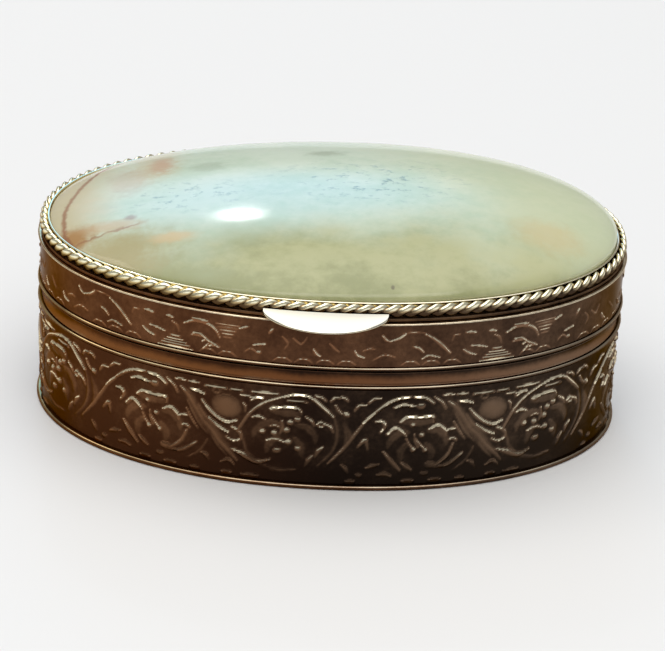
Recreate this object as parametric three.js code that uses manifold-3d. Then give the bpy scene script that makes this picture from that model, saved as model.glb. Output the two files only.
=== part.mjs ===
// Oval trinket box with a hinged lid, a domed stone set in a twisted wire border,
// rolled beads on the walls and a soft lining.
// Units are millimetres and +Z is up. The origin is on the table under the middle of the box.
// The thumb lift is at the front, towards -Y, and the hinge is at the back, towards +Y.
import * as THREE from 'three';
import { mergeVertices } from 'three/addons/utils/BufferGeometryUtils.js';
import Module from 'manifold-3d';

const wasm = await Module();
wasm.setup();

// Plan outline: the line that the beads and the carving stand on. Outsets are measured from it.
const halfLength = 37.5;
const halfWidth = 25;
const ovalPowerShare = 0.95;
const ovalSides = 64;

// Clearances
const solderGap = 0.1;
const partingGap = 0.3;
const runningGap = 0.2;
const cutOverrun = 1;

// Base plate and its flange
const baseThickness = 0.6;
const flangeReach = 0.3;
const flangeRound = 0.15;

// Walls of the box and the lid
const carvingDepth = 0.2;
const bodyWallHeight = 13.15;
const bodyWallSheet = 0.8;
const rimBandHeight = 2.35;
const rimBandSheet = 0.65;
const rimBandSetback = 0.3;
const rimBandHollow = 0.14;
const lidWallHeight = 6.5;
const lidWallSheet = 0.6;
const topRidgeRadius = 0.16;

// Half-round beads
const beadRadius = 0.28;
const beadCrest = 0.12;
const beadSteps = 4;

// Collar that the lid closes over
const collarSheet = 0.45;
const collarRise = 1.75;
const collarDepth = 4.5;

// Lining
const wallLiningThickness = 0.6;
const floorLiningThickness = 1.6;
const lidLiningThickness = 1.3;
const liningRound = 0.5;

// Lid top: plate, step, bezel and wire border
const lidPlateThickness = 0.8;
const lidPlateDrop = 1.1;
const stepHeight = 1.6;
const stepReach = 0.2;
const wireHalfWidth = 0.48;
const wireHalfHeight = 0.95;
const wireSetback = 0.11;
const wirePitch = 1.7;
const wireWaistShare = 0.74;
const wireSides = 6;
const wireStepsPerStrand = 3;
const bezelSheet = 0.15;
const bezelHeight = 3.35;

// Stone
const bedThickness = 0.7;
const stoneSideHeight = 2.7;
const stoneCrown = 5.5;
const stoneEdgeLean = 0.43;
const stoneDomeLean = 1.5;
const stonePowerShare = 2;
const stoneShoulderShare = 0.63;
const stoneRingShares = [0.997, 0.98, 0.945, 0.88, 0.78, 0.62, 0.4, 0.2];

// Thumb lift
const liftWidth = 15;
const liftReach = 2.88;
const liftOffset = -0.8;
const liftEndReach = 0.35;
const liftSink = 0.1;
const liftDrop = 1.25;
const liftTipHeight = 0.3;
const liftBulge = 0.12;
const liftPowerShare = 0.6;
const liftSteps = 20;
const liftDepthSteps = 3;
const tongueWidth = 11;
const tongueHeight = 0.4;
const tongueBite = 0.1;

// Hinge
const hingeLength = 18;
const hingeMiddleLength = 6;
const hingeAxisReach = 1.8;
const knuckleRadius = 1.2;
const leafThickness = 0.55;
const leafHeight = 3.2;
const leafStandoff = 0.2;
const leafPlateSink = 2;
const pinRadius = 0.5;
const pinClearance = 0.06;
const pinHeadLength = 0.3;
const roundSides = 20;

// Heights worked out from the sizes above
const bodyWallTop = baseThickness + bodyWallHeight;
const bodyTop = bodyWallTop + rimBandHeight;
const lidBottom = bodyTop + partingGap;
const lidWallTop = lidBottom + lidWallHeight;
const hingeAxisHeight = (bodyTop + lidBottom) / 2;
const lidPlateTop = lidWallTop - lidPlateDrop;
const lidPlateBottom = lidPlateTop - lidPlateThickness;
const stepTop = lidPlateTop + stepHeight;
const wireHeight = stepTop + wireHalfHeight;
const liftTop = wireHeight - liftSink;
const tongueBottom = lidWallTop + solderGap / 2;
const tongueTop = tongueBottom + tongueHeight;
const liftRootHeight = liftTop - tongueTop + tongueBite;
const bedTop = lidPlateTop + bedThickness;

// Outsets of the faces, negative towards the inside
const carvedFace = -carvingDepth / 2;
const bodyWallInner = carvedFace - bodyWallSheet;
const rimBandFace = -rimBandSetback;
const rimBandInner = rimBandFace - rimBandSheet;
const lidWallInner = carvedFace - lidWallSheet;
const collarOuter = rimBandInner - solderGap;
const collarInner = collarOuter - collarSheet;
const wallLiningOuter = bodyWallInner - solderGap;
const wallLiningInner = wallLiningOuter - wallLiningThickness;
const floorLiningEdge = wallLiningInner - solderGap;
const lidPlateEdge = lidWallInner - solderGap;
const lidLiningEdge = lidPlateEdge - solderGap;
const stepOuter = lidWallInner - solderGap;
const wireOutset = -wireSetback - wireHalfWidth;
const stepFace = wireOutset + stepReach;
const bezelOuter = wireOutset - wireHalfWidth - solderGap;
const stepInner = bezelOuter + solderGap;
const bezelInner = bezelOuter - bezelSheet;
const stoneEdge = bezelInner - solderGap;

// A signed power, which turns a circle's sine or cosine into an oval's.
function ovalShare(value) {
  return Math.sign(value) * Math.abs(value) ** ovalPowerShare;
}

// The closed plan outline at one outset and height, counter-clockwise seen from above.
class OvalCurve extends THREE.Curve {
  constructor(outset, height) {
    super();
    this.outset = outset;
    this.height = height;
  }

  getPoint(share, target = new THREE.Vector3()) {
    const angle = share * 2 * Math.PI;
    const x = (halfLength + this.outset) * ovalShare(Math.cos(angle));
    const y = (halfWidth + this.outset) * ovalShare(Math.sin(angle));
    return target.set(x, y, this.height);
  }
}

// The y of the outline's front half at one x.
function frontLine(outset, x) {
  const share = Math.min(Math.abs(x) / (halfLength + outset), 1);
  const reach = (1 - share ** (2 / ovalPowerShare)) ** (ovalPowerShare / 2);
  return -(halfWidth + outset) * reach;
}

// One ring of points on the outline.
function ovalRing(outset, height) {
  const curve = new OvalCurve(outset, height);
  const ring = [];
  for (let side = 0; side < ovalSides; side += 1) {
    ring.push(curve.getPoint(side / ovalSides));
  }
  return ring;
}

// A closed surface through rings of points. With no tips the last ring joins the first.
// A tip is the point that closes an end.
function skin(rings, startTip, endTip) {
  const points = rings.flat();
  const count = rings[0].length;
  const corner = (ring, side) => (ring % rings.length) * count + (side % count);
  const triangles = [];
  const spans = startTip ? rings.length - 1 : rings.length;
  for (let ring = 0; ring < spans; ring += 1) {
    for (let side = 0; side < count; side += 1) {
      const a = corner(ring, side);
      const b = corner(ring, side + 1);
      const c = corner(ring + 1, side + 1);
      const d = corner(ring + 1, side);
      triangles.push(a, b, c, a, c, d);
    }
  }
  if (startTip) {
    const start = points.push(startTip) - 1;
    const end = points.push(endTip) - 1;
    for (let side = 0; side < count; side += 1) {
      triangles.push(start, corner(0, side + 1), corner(0, side));
      triangles.push(end, corner(rings.length - 1, side), corner(rings.length - 1, side + 1));
    }
  }
  const geometry = new THREE.BufferGeometry().setFromPoints(points);
  geometry.setIndex(triangles);
  geometry.computeVertexNormals();
  return geometry;
}

// A band round the oval from a closed section of [outset, height] points, counter-clockwise.
function band(section) {
  return skin(section.map(([outset, height]) => ovalRing(outset, height)));
}

// A band with a rectangular section.
function flatBand(outer, inner, bottom, top) {
  return band([[inner, bottom], [outer, bottom], [outer, top], [inner, top]]);
}

// A solid disc from an open section of [outset, height] points, from the bottom to the top.
function disc(section) {
  const bottom = new THREE.Vector3(0, 0, section[0][1]);
  const top = new THREE.Vector3(0, 0, section[section.length - 1][1]);
  return skin(section.map(([outset, height]) => ovalRing(outset, height)), bottom, top);
}

// The points of a half-round bead that stands on a face and reaches past the outline to its crest.
function beadArc(face, height, radius) {
  const points = [];
  for (let step = 0; step <= beadSteps; step += 1) {
    const angle = Math.PI * (step / beadSteps - 1 / 2);
    points.push([face + (beadCrest - face) * Math.cos(angle), height + radius * Math.sin(angle)]);
  }
  return points;
}

function toSolid(geometry) {
  const bare = geometry.clone();
  bare.deleteAttribute('normal');
  bare.deleteAttribute('uv');
  const merged = mergeVertices(bare);
  const vertProperties = new Float32Array(merged.attributes.position.array);
  const triVerts = new Uint32Array(merged.index.array);
  return new wasm.Manifold(new wasm.Mesh({ numProp: 3, vertProperties, triVerts }));
}

function toGeometry(solid) {
  const mesh = solid.getMesh();
  const geometry = new THREE.BufferGeometry();
  geometry.setAttribute('position', new THREE.BufferAttribute(mesh.vertProperties, mesh.numProp));
  geometry.setIndex(new THREE.BufferAttribute(mesh.triVerts, 1));
  geometry.computeVertexNormals();
  return geometry;
}

// A box between two corners.
function block(low, high) {
  const size = new THREE.Vector3().subVectors(high, low);
  const middle = new THREE.Vector3().addVectors(low, high).multiplyScalar(1 / 2);
  return toSolid(new THREE.BoxGeometry(...size).translate(...middle));
}

// A round bar along the hinge axis between two x places.
function hingeBar(radius, fromX, toX) {
  const bar = new THREE.CylinderGeometry(radius, radius, toX - fromX, roundSides);
  bar.rotateZ(Math.PI / 2);
  bar.translate((fromX + toX) / 2, halfWidth + hingeAxisReach, hingeAxisHeight);
  return bar;
}

function gilt(color, roughness) {
  return new THREE.MeshStandardMaterial({ color, roughness, metalness: 1 });
}

function velvet() {
  return new THREE.MeshStandardMaterial({ color: 0x5c1420, roughness: 0.95, metalness: 0 });
}

function mesh(name, geometry, material) {
  const piece = new THREE.Mesh(geometry, material);
  piece.name = name;
  return piece;
}

// Flat plate that the box stands on. Its rounded edge is the flange round the foot.
function basePlate() {
  const edge = flangeReach;
  const section = [
    [edge - flangeRound, 0],
    [edge, flangeRound],
    [edge, baseThickness - flangeRound],
    [edge - flangeRound, baseThickness],
  ];
  return mesh('base_plate', disc(section), gilt(0xa5803c, 0.3));
}

// Embossed strip bent into the oval wall and soldered to the base plate.
function bodyWall() {
  const strip = flatBand(carvedFace, bodyWallInner, baseThickness, bodyWallTop);
  return mesh('body_wall', strip, gilt(0x7d5a2a, 0.35));
}

// Plain, slightly hollow band between the two beads.
function bodyRimBand() {
  const hollowBottom = bodyWallTop + 2 * beadRadius + solderGap;
  const hollowMiddle = (hollowBottom + bodyTop) / 2;
  const section = [
    [rimBandInner, bodyWallTop],
    [rimBandFace, bodyWallTop],
    [rimBandFace, hollowBottom],
    [rimBandFace - rimBandHollow, hollowMiddle],
    [rimBandFace, bodyTop],
    [rimBandInner, bodyTop],
  ];
  return mesh('body_rim_band', band(section), gilt(0x8a6530, 0.25));
}

// Half-round wire soldered round the box under the plain band.
function bodyBead() {
  const height = bodyWallTop + solderGap + beadRadius;
  return mesh('body_bead', band(beadArc(rimBandFace, height, beadRadius)), gilt(0xc79f52, 0.2));
}

// Inner strip that stands above the rim, so that the closed lid can't slide sideways.
function innerCollar() {
  const top = bodyTop + collarRise;
  const strip = flatBand(collarOuter, collarInner, bodyTop - collarDepth, top);
  return mesh('inner_collar', strip, gilt(0xb08a45, 0.25));
}

// Lining strip between the floor and the collar.
function wallLining() {
  const top = bodyTop - collarDepth - solderGap;
  const strip = flatBand(wallLiningOuter, wallLiningInner, baseThickness, top);
  return mesh('wall_lining', strip, velvet());
}

// A lining pad with a rounded edge. Its soft face is up, or down in the lid.
function liningPad(name, edge, seat, thickness) {
  const face = seat + thickness;
  const shoulder = face - Math.sign(thickness) * liningRound;
  const section = [[edge, seat], [edge, shoulder], [edge - liningRound, face]];
  if (thickness < 0) {
    section.reverse();
  }
  return mesh(name, disc(section), velvet());
}

// Engraved strip bent into the lid's wall, with a fine ridge along its top edge.
function lidWall() {
  const ridge = lidWallTop - topRidgeRadius;
  const section = [
    [lidWallInner, lidBottom],
    [carvedFace, lidBottom],
    [carvedFace, ridge - topRidgeRadius],
    [topRidgeRadius / 2, ridge],
    [carvedFace, lidWallTop],
    [lidWallInner, lidWallTop],
  ];
  return mesh('lid_wall', band(section), gilt(0x7d5a2a, 0.3));
}

// Half-round wire soldered round the lid's lower edge.
function lidBead() {
  const height = lidBottom + beadRadius;
  return mesh('lid_bead', band(beadArc(carvedFace, height, beadRadius)), gilt(0xc79f52, 0.2));
}

// Plate across the lid that carries the step, the bezel and the stone.
function lidPlate() {
  const section = [[lidPlateEdge, lidPlateBottom], [lidPlateEdge, lidPlateTop]];
  return mesh('lid_plate', disc(section), gilt(0xa5803c, 0.35));
}

// Ring that lifts the wire border above the lid's wall and leaves a groove under it.
// Its upper part reaches out over the wall's top edge.
function borderStep() {
  const ledge = lidWallTop + solderGap;
  const section = [
    [stepInner, lidPlateTop],
    [stepOuter, lidPlateTop],
    [stepOuter, ledge],
    [stepFace, ledge],
    [stepFace, stepTop],
    [stepInner, stepTop],
  ];
  return mesh('border_step', band(section), gilt(0x6d4d24, 0.4));
}

// Two wires twisted together and rolled flatter, as one section with a waist that turns
// along the oval.
function wireBorder() {
  const curve = new OvalCurve(wireOutset, wireHeight);
  const strandPairs = Math.round(curve.getLength() / (2 * wirePitch));
  const stations = 2 * strandPairs * wireStepsPerStrand;
  curve.arcLengthDivisions = stations;
  const up = new THREE.Vector3(0, 0, 1);
  const rings = [];
  for (let station = 0; station < stations; station += 1) {
    const share = station / stations;
    const centre = curve.getPointAt(share);
    const outward = new THREE.Vector3().crossVectors(curve.getTangentAt(share), up);
    const twist = -2 * Math.PI * strandPairs * share;
    const ring = [];
    for (let side = 0; side < wireSides; side += 1) {
      const angle = side / wireSides * 2 * Math.PI;
      const swell = Math.abs(Math.cos(angle)) * (1 - wireWaistShare) + wireWaistShare;
      const point = centre.clone();
      point.addScaledVector(outward, wireHalfWidth * swell * Math.cos(angle + twist));
      point.addScaledVector(up, -wireHalfHeight * swell * Math.sin(angle + twist));
      ring.push(point);
    }
    rings.push(ring);
  }
  return mesh('wire_border', skin(rings), gilt(0xd9b15c, 0.2));
}

// Thin upright strip that holds the stone all round.
function bezelStrip() {
  const strip = flatBand(bezelOuter, bezelInner, lidPlateTop, lidPlateTop + bezelHeight);
  return mesh('bezel_strip', strip, gilt(0xe0bd6a, 0.2));
}

// Cement that the stone is bedded on.
function stoneBed() {
  const section = [[stoneEdge, lidPlateTop], [stoneEdge, bedTop]];
  const cement = new THREE.MeshStandardMaterial({ color: 0xcfc8b4, roughness: 0.9, metalness: 0 });
  return mesh('stone_bed', disc(section), cement);
}

// Domed stone with a flat back and an upright side, a little thicker at its right end.
function stone() {
  const side = bedTop + stoneSideHeight;
  const rings = [ovalRing(stoneEdge, bedTop)];
  for (const share of [1, ...stoneRingShares]) {
    const swell = (1 - share ** stonePowerShare) ** stoneShoulderShare;
    const slope = (stoneEdgeLean + stoneDomeLean * swell) / (halfLength + stoneEdge);
    rings.push(ovalRing(stoneEdge, side + stoneCrown * swell).map((point) => {
      const x = point.x * share;
      return new THREE.Vector3(x, point.y * share, point.z + slope * x);
    }));
  }
  const under = new THREE.Vector3(0, 0, bedTop);
  const crown = new THREE.Vector3(0, 0, side + stoneCrown);
  const polished = new THREE.MeshStandardMaterial({ color: 0xa8b183, roughness: 0.15, metalness: 0 });
  return mesh('stone', skin(rings, under, crown), polished);
}

// One upright section across the thumb lift, from its root to its edge and back underneath.
function liftSection(share) {
  const x = liftOffset + share * liftWidth / 2;
  const root = frontLine(solderGap, x);
  const reach = liftEndReach + (liftReach - liftEndReach) * (1 - share * share) ** liftPowerShare;
  const upper = [];
  const lower = [];
  for (let step = 0; step <= liftDepthSteps; step += 1) {
    const out = step / liftDepthSteps;
    const bulge = liftBulge * Math.sin(Math.PI * out);
    const top = liftTop + (bulge - liftDrop * out) * reach / liftReach;
    const height = liftRootHeight + (liftTipHeight - liftRootHeight) * out;
    upper.push(new THREE.Vector3(x, root - reach * out, top));
    lower.unshift(new THREE.Vector3(x, root - reach * out, top - height));
  }
  return [...upper, ...lower];
}

// The middle of a section, where its end cap closes.
function middleOf(section) {
  const sum = new THREE.Vector3();
  for (const point of section) {
    sum.add(point);
  }
  return sum.divideScalar(section.length);
}

// Polished crescent under the wire border. Its tongue lies in the groove, on the lid's wall.
function thumbLift() {
  const sections = [];
  for (let step = 0; step <= liftSteps; step += 1) {
    sections.push(liftSection(Math.sin(Math.PI * (step / liftSteps - 1 / 2))));
  }
  const first = sections[0];
  const last = sections[sections.length - 1];
  const crescent = toSolid(skin(sections, middleOf(first), middleOf(last)));
  const ring = flatBand(liftEndReach, stepFace + solderGap, tongueBottom, tongueTop);
  const window = block(
    new THREE.Vector3(liftOffset - tongueWidth / 2, -halfWidth - cutOverrun, 0),
    new THREE.Vector3(liftOffset + tongueWidth / 2, 0, wireHeight),
  );
  const tongue = toSolid(ring).intersect(window);
  return mesh('thumb_lift', toGeometry(crescent.add(tongue)), gilt(0xf0d890, 0.1));
}

// One leaf of the hinge: a plate bent to the wall, its knuckles and the webs between them.
// The plate runs away from the parting line, down for the box and up for the lid.
function hingeLeaf(name, knuckles, gaps, direction) {
  const axisY = halfWidth + hingeAxisReach;
  const face = hingeAxisHeight + direction * partingGap / 2;
  const far = face + direction * leafHeight;
  const plateFace = halfWidth + leafStandoff + leafThickness;
  let leaf = block(
    new THREE.Vector3(-hingeLength / 2, halfWidth - leafPlateSink, Math.min(face, far)),
    new THREE.Vector3(hingeLength / 2, plateFace, Math.max(face, far)),
  );
  for (const [fromX, toX] of gaps) {
    leaf = leaf.subtract(toSolid(hingeBar(knuckleRadius + runningGap, fromX, toX)));
  }
  for (const [fromX, toX] of knuckles) {
    const webFar = hingeAxisHeight + direction * knuckleRadius;
    const web = block(
      new THREE.Vector3(fromX, halfWidth - leafPlateSink, Math.min(face, webFar)),
      new THREE.Vector3(toX, axisY, Math.max(face, webFar)),
    );
    leaf = leaf.add(web).add(toSolid(hingeBar(knuckleRadius, fromX, toX)));
  }
  const wall = disc([[leafStandoff, 0], [leafStandoff, lidWallTop + leafHeight]]);
  const bore = hingeBar(pinRadius + pinClearance, -hingeLength, hingeLength);
  const bent = leaf.subtract(toSolid(wall)).subtract(toSolid(bore));
  return mesh(name, toGeometry(bent), gilt(0xa5803c, 0.3));
}

function hinge() {
  const end = hingeLength / 2;
  const middle = hingeMiddleLength / 2;
  const outerKnuckles = [[-end, -middle - runningGap], [middle + runningGap, end]];
  const middleKnuckle = [[-middle, middle]];
  const middleGap = [[-middle - runningGap, middle + runningGap]];
  const outerGaps = [[-end - cutOverrun, -middle], [middle, end + cutOverrun]];
  const pin = hingeBar(pinRadius, -end - pinHeadLength, end + pinHeadLength);
  return {
    bodyLeaf: hingeLeaf('hinge_leaf_body', outerKnuckles, middleGap, -1),
    lidLeaf: hingeLeaf('hinge_leaf_lid', middleKnuckle, outerGaps, 1),
    pin: mesh('hinge_pin', pin, gilt(0xb9b3a4, 0.25)),
  };
}

const { bodyLeaf, lidLeaf, pin } = hinge();

const box = new THREE.Group();
box.add(basePlate(), bodyWall(), bodyRimBand(), bodyBead(), innerCollar(), wallLining());
box.add(liningPad('floor_lining', floorLiningEdge, baseThickness, floorLiningThickness));
box.add(bodyLeaf, pin);

const lid = new THREE.Group();
lid.add(lidWall(), lidBead(), lidPlate(), borderStep(), wireBorder(), bezelStrip());
lid.add(stoneBed(), stone(), thumbLift());
lid.add(liningPad('lid_lining', lidLiningEdge, lidPlateBottom, -lidLiningThickness));
lid.add(lidLeaf);

const group = new THREE.Group();
group.add(box, lid);

export default group;
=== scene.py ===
"""Oval trinket box with a domed onyx in a twisted wire border, dressed in gilt and velvet.

Lengths are worked out in millimetres and become metres when a mesh is made. +Z is up, the
thumb lift is at the front, towards -Y, and the hinge is at the back, towards +Y.
"""

import logging
import math
from collections.abc import Sequence
from dataclasses import dataclass, field, replace
from enum import Enum
from typing import Any, ClassVar

import bmesh
import bpy
import numpy as np
from mathutils import Matrix, Vector


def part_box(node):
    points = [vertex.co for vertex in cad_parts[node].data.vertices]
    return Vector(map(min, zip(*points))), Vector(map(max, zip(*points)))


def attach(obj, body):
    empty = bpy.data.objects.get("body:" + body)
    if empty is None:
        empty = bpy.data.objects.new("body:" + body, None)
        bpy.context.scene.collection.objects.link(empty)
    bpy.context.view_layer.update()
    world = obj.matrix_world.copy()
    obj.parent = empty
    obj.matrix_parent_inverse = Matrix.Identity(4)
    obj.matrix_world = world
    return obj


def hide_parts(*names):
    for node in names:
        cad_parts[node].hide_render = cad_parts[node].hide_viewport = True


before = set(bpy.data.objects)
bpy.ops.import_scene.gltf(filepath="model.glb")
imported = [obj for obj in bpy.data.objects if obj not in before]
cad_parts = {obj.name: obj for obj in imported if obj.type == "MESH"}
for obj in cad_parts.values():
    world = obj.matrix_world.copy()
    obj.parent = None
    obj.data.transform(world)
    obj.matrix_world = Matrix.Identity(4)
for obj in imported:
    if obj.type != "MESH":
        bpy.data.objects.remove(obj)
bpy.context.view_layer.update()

log = logging.getLogger("trinket_box")

MM = 0.001
FULL_TURN = 2 * math.pi
# How far the outline runs outside the CAD's plain wall
CARVED_FACE = 0.1
# A painted highlight on the beads: the level rises from the first number to the second where a bead turns up
# at the angle below.
BEAD_BASE_AND_HIGHLIGHT = (0.12, 0.9)
BEAD_HIGHLIGHT_ANGLE = 0.7
BEAD_HIGHLIGHT_REACH = (0.8, 0.97)
SOFTENED_ANGLE = 40
SHARP_ANGLE = 45

Array = np.ndarray
Piece = bpy.types.Object
Triple = tuple[float, float, float]
Colour = Triple
Point = tuple[float, float]


# Names that the frame and the record use


class Body(Enum):
    """The bodies of the frame."""

    BOX = "box"
    LID = "lid"


class Slot(Enum):
    """The material slots of the record."""

    PLAIN = "gilt_plain"
    EMBOSSED = "gilt_embossed"
    BRIGHT = "gilt_bright"
    PIN = "steel_pin"
    ONYX = "onyx_stone"
    CEMENT = "stone_cement"
    VELVET = "lining_velvet"


@dataclass(frozen=True)
class Extent:
    """The lowest and highest corner of a CAD node, in millimetres."""

    low: Array
    high: Array

    @classmethod
    def of(cls, node: str) -> "Extent":
        """The extent of one node of the frame."""
        low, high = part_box(node)
        return cls(np.array(low) / MM, np.array(high) / MM)

    @property
    def bottom(self) -> float:
        """The node's lowest height."""
        return float(self.low[2])

    @property
    def top(self) -> float:
        """The node's greatest height."""
        return float(self.high[2])

    @property
    def middle(self) -> Array:
        """The point halfway between the two corners."""
        return (self.low + self.high) / 2


# The oval and the meshes that follow it


@dataclass(frozen=True)
class Outline:
    """The oval that the beads and the carving stand on."""

    half_length: float
    half_width: float
    power: float = 0.95
    fine_steps: int = 7200

    def at(self, turns: Array, outset: Array | float) -> Array:
        """Places points on the oval.

        Args:
            turns: Angles in radians, from the front centre towards +X.
            outset: How far outside the outline each point lies.

        Returns:
            The x and y of each point, on a last axis of two.
        """
        sine, cosine = np.sin(turns), -np.cos(turns)
        x = (self.half_length + outset) * np.sign(sine) * np.abs(sine) ** self.power
        y = (self.half_width + outset) * np.sign(cosine) * np.abs(cosine) ** self.power
        return np.stack(np.broadcast_arrays(x, y), axis=-1)

    def _measured(self) -> tuple[Array, Array]:
        """Measures the outline.

        Returns:
            Fine angles round the oval and the arc length up to each.
        """
        turns = np.linspace(0, FULL_TURN, self.fine_steps + 1)
        steps = np.linalg.norm(np.diff(self.at(turns, 0), axis=0), axis=1)
        return turns, np.concatenate([[0], np.cumsum(steps)])

    @property
    def length(self) -> float:
        """The length of the outline."""
        return float(self._measured()[1][-1])

    def turns_at(self, arcs: Array) -> Array:
        """Finds places by their arc length.

        Args:
            arcs: Arc lengths from the front centre, which may go round more than once.

        Returns:
            The angle of each place.
        """
        turns, measured = self._measured()
        laps = np.floor(arcs / measured[-1])
        return np.interp(arcs - laps * measured[-1], measured, turns) + laps * FULL_TURN

    def even_turns(self, count: int) -> Array:
        """Angles that part the outline into equal lengths, from the front centre."""
        return self.turns_at(np.arange(count) / count * self.length)

    def front(self, x: Array | float, outset: float) -> Array:
        """Finds the outline's front half.

        Args:
            x: Places across the box.
            outset: How far outside the outline the line lies.

        Returns:
            The y of the line at each x.
        """
        share = np.clip(np.abs(x) / (self.half_length + outset), 0, 1)
        reach = (1 - share ** (2 / self.power)) ** (self.power / 2)
        return -(self.half_width + outset) * reach


@dataclass
class Skin:
    """A mesh whose points lie in rows, each a closed loop. A tip closes an end of the rows."""

    points: Array
    loop_rows: bool = False
    first_tip: Array | None = None
    last_tip: Array | None = None
    polish_and_shading: Array | float = 0.5

    def _faces(self) -> list[list[int]]:
        """Lists the faces.

        Returns:
            The faces between neighbouring points, and the fans round the tips.
        """
        rows, columns = self.points.shape[:2]
        index = np.arange(rows * columns).reshape(rows, columns)
        if self.loop_rows:
            index = np.vstack([index, index[:1]])
        index = np.hstack([index, index[:, :1]])
        corners = [index[:-1, :-1], index[:-1, 1:], index[1:, 1:], index[1:, :-1]]
        faces = np.stack(corners, axis=-1).reshape(-1, 4).tolist()
        tip = rows * columns
        if self.first_tip is not None:
            faces += [[tip, int(b), int(a)] for a, b in zip(index[0], index[0][1:])]
            tip += 1
        if self.last_tip is not None:
            faces += [[tip, int(a), int(b)] for a, b in zip(index[-1], index[-1][1:])]
        return faces

    def build(self, name: str, sharp_angle: float = 50) -> Piece:
        """Makes the Blender object.

        Args:
            name: The object's name.
            sharp_angle: Edges that turn more than this many degrees stay sharp.

        Returns:
            The object, linked to the scene, with a smooth shaded mesh in metres.
        """
        tips = [tip for tip in (self.first_tip, self.last_tip) if tip is not None]
        points = self.points.reshape(-1, 3)
        if tips:
            points = np.vstack([points, *tips])
        mesh = bpy.data.meshes.new(name)
        mesh.from_pydata((points * MM).tolist(), [], self._faces())
        polish_and_shading = np.broadcast_to(self.polish_and_shading, self.points.shape[:2]).ravel()
        keep_polish_and_shading(mesh, np.concatenate([polish_and_shading, np.full(len(tips), polish_and_shading[-1])]))
        mesh.shade_smooth()
        mesh.set_sharp_from_angle(angle=math.radians(sharp_angle))
        return linked(name, mesh)


def keep_polish_and_shading(mesh: bpy.types.Mesh, levels: Array) -> None:
    """Writes how polished each point of a mesh is, with painted highlights and painted shade folded in, for
    its finish to read.
    """
    marks = mesh.attributes.new("polish_and_shading", "FLOAT", "POINT")
    marks.data.foreach_set("value", levels.astype(np.float32))


def linked(name: str, data: bpy.types.ID) -> Piece:
    """Puts a new object in the scene.

    Args:
        name: The object's name.
        data: Its mesh, lamp or camera.

    Returns:
        The object.
    """
    made = bpy.data.objects.new(name, data)
    bpy.context.collection.objects.link(made)
    return made


def rounded(corners: Sequence[Point], radius: float, steps: int = 3) -> Array:
    """Rounds the corners of a closed section.

    Args:
        corners: The section's corners in order, as outset and height.
        radius: How far along each side the rounding starts.
        steps: The number of pieces that each rounding is made of.

    Returns:
        The points of the rounded section.
    """
    sharp = np.array(corners, dtype=float)
    points = []
    for before, here, after in zip(np.roll(sharp, 1, 0), sharp, np.roll(sharp, -1, 0)):
        back, on = before - here, after - here
        start = here + back * min(radius / np.linalg.norm(back), 0.5)
        end = here + on * min(radius / np.linalg.norm(on), 0.5)
        for share in np.linspace(0, 1, steps + 1):
            bend = (1 - share) ** 2 * start + 2 * share * (1 - share) * here + share**2 * end
            points.append(bend)
    return np.array(points)


def smooth_step(values: Array, low: float, high: float) -> Array:
    """A smooth rise from 0 at low to 1 at high."""
    share = np.clip((values - low) / (high - low), 0, 1)
    return share * share * (3 - 2 * share)


@dataclass(frozen=True)
class RingMaker:
    """Makes the pieces whose section is the same all round the oval."""

    outline: Outline
    columns: int = 320

    def reach(self, node: str) -> float:
        """How far outside the outline a node reaches at its ends."""
        return float(Extent.of(node).high[0]) - self.outline.half_length

    def fitted(self, node: str) -> tuple[Extent, float]:
        """A node's extent, and how far outside the outline it reaches."""
        return Extent.of(node), self.reach(node)

    def points(self, section: Array, columns: int | None = None) -> Array:
        """Sweeps a section round the oval.

        Args:
            section: The section's points, as outset and height.
            columns: How many places round the oval it is set at.

        Returns:
            The rows and columns of points.
        """
        turns = self.outline.even_turns(columns or self.columns)
        flat = self.outline.at(turns[None, :], section[:, :1])
        heights = np.broadcast_to(section[:, 1:], flat.shape[:2])
        return np.concatenate([flat, heights[..., None]], axis=-1)

    def band(self, section: Array, polish_and_shading: Array | float = 0.5) -> Skin:
        """A closed band with the given section, which runs upwards on its outer side."""
        marks = polish_and_shading if isinstance(polish_and_shading, float) else np.asarray(polish_and_shading)[:, None]
        return Skin(self.points(section), loop_rows=True, polish_and_shading=marks)

    def disc(self, section: Array, bottom: float, top: float, polish_and_shading: float = 0.5) -> Skin:
        """A closed disc whose edge has the given section, from the bottom to the top."""
        low, high = np.array([0, 0, bottom]), np.array([0, 0, top])
        return Skin(self.points(section), first_tip=low, last_tip=high, polish_and_shading=polish_and_shading)


# Carving


def smooth_path(points: Sequence[Point], step: float = 0.09) -> Array:
    """A Catmull-Rom curve through some points.

    Args:
        points: Two or more points.
        step: The distance between the points that come back, roughly.

    Returns:
        Points along the curve, one pair a row.
    """
    knots = np.array(points, dtype=float)
    knots = np.vstack([2 * knots[0] - knots[1], knots, 2 * knots[-1] - knots[-2]])
    pieces = []
    for a, b, c, d in zip(knots, knots[1:], knots[2:], knots[3:]):
        count = max(2, math.ceil(np.linalg.norm(c - b) / step))
        t = np.linspace(0, 1, count, endpoint=False)[:, None]
        curve = 2 * b + (c - a) * t + (2 * a - 5 * b + 4 * c - d) * t**2
        pieces.append((curve + (3 * b - a - 3 * c + d) * t**3) / 2)
    return np.vstack([*pieces, knots[-2:-1]])


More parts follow.
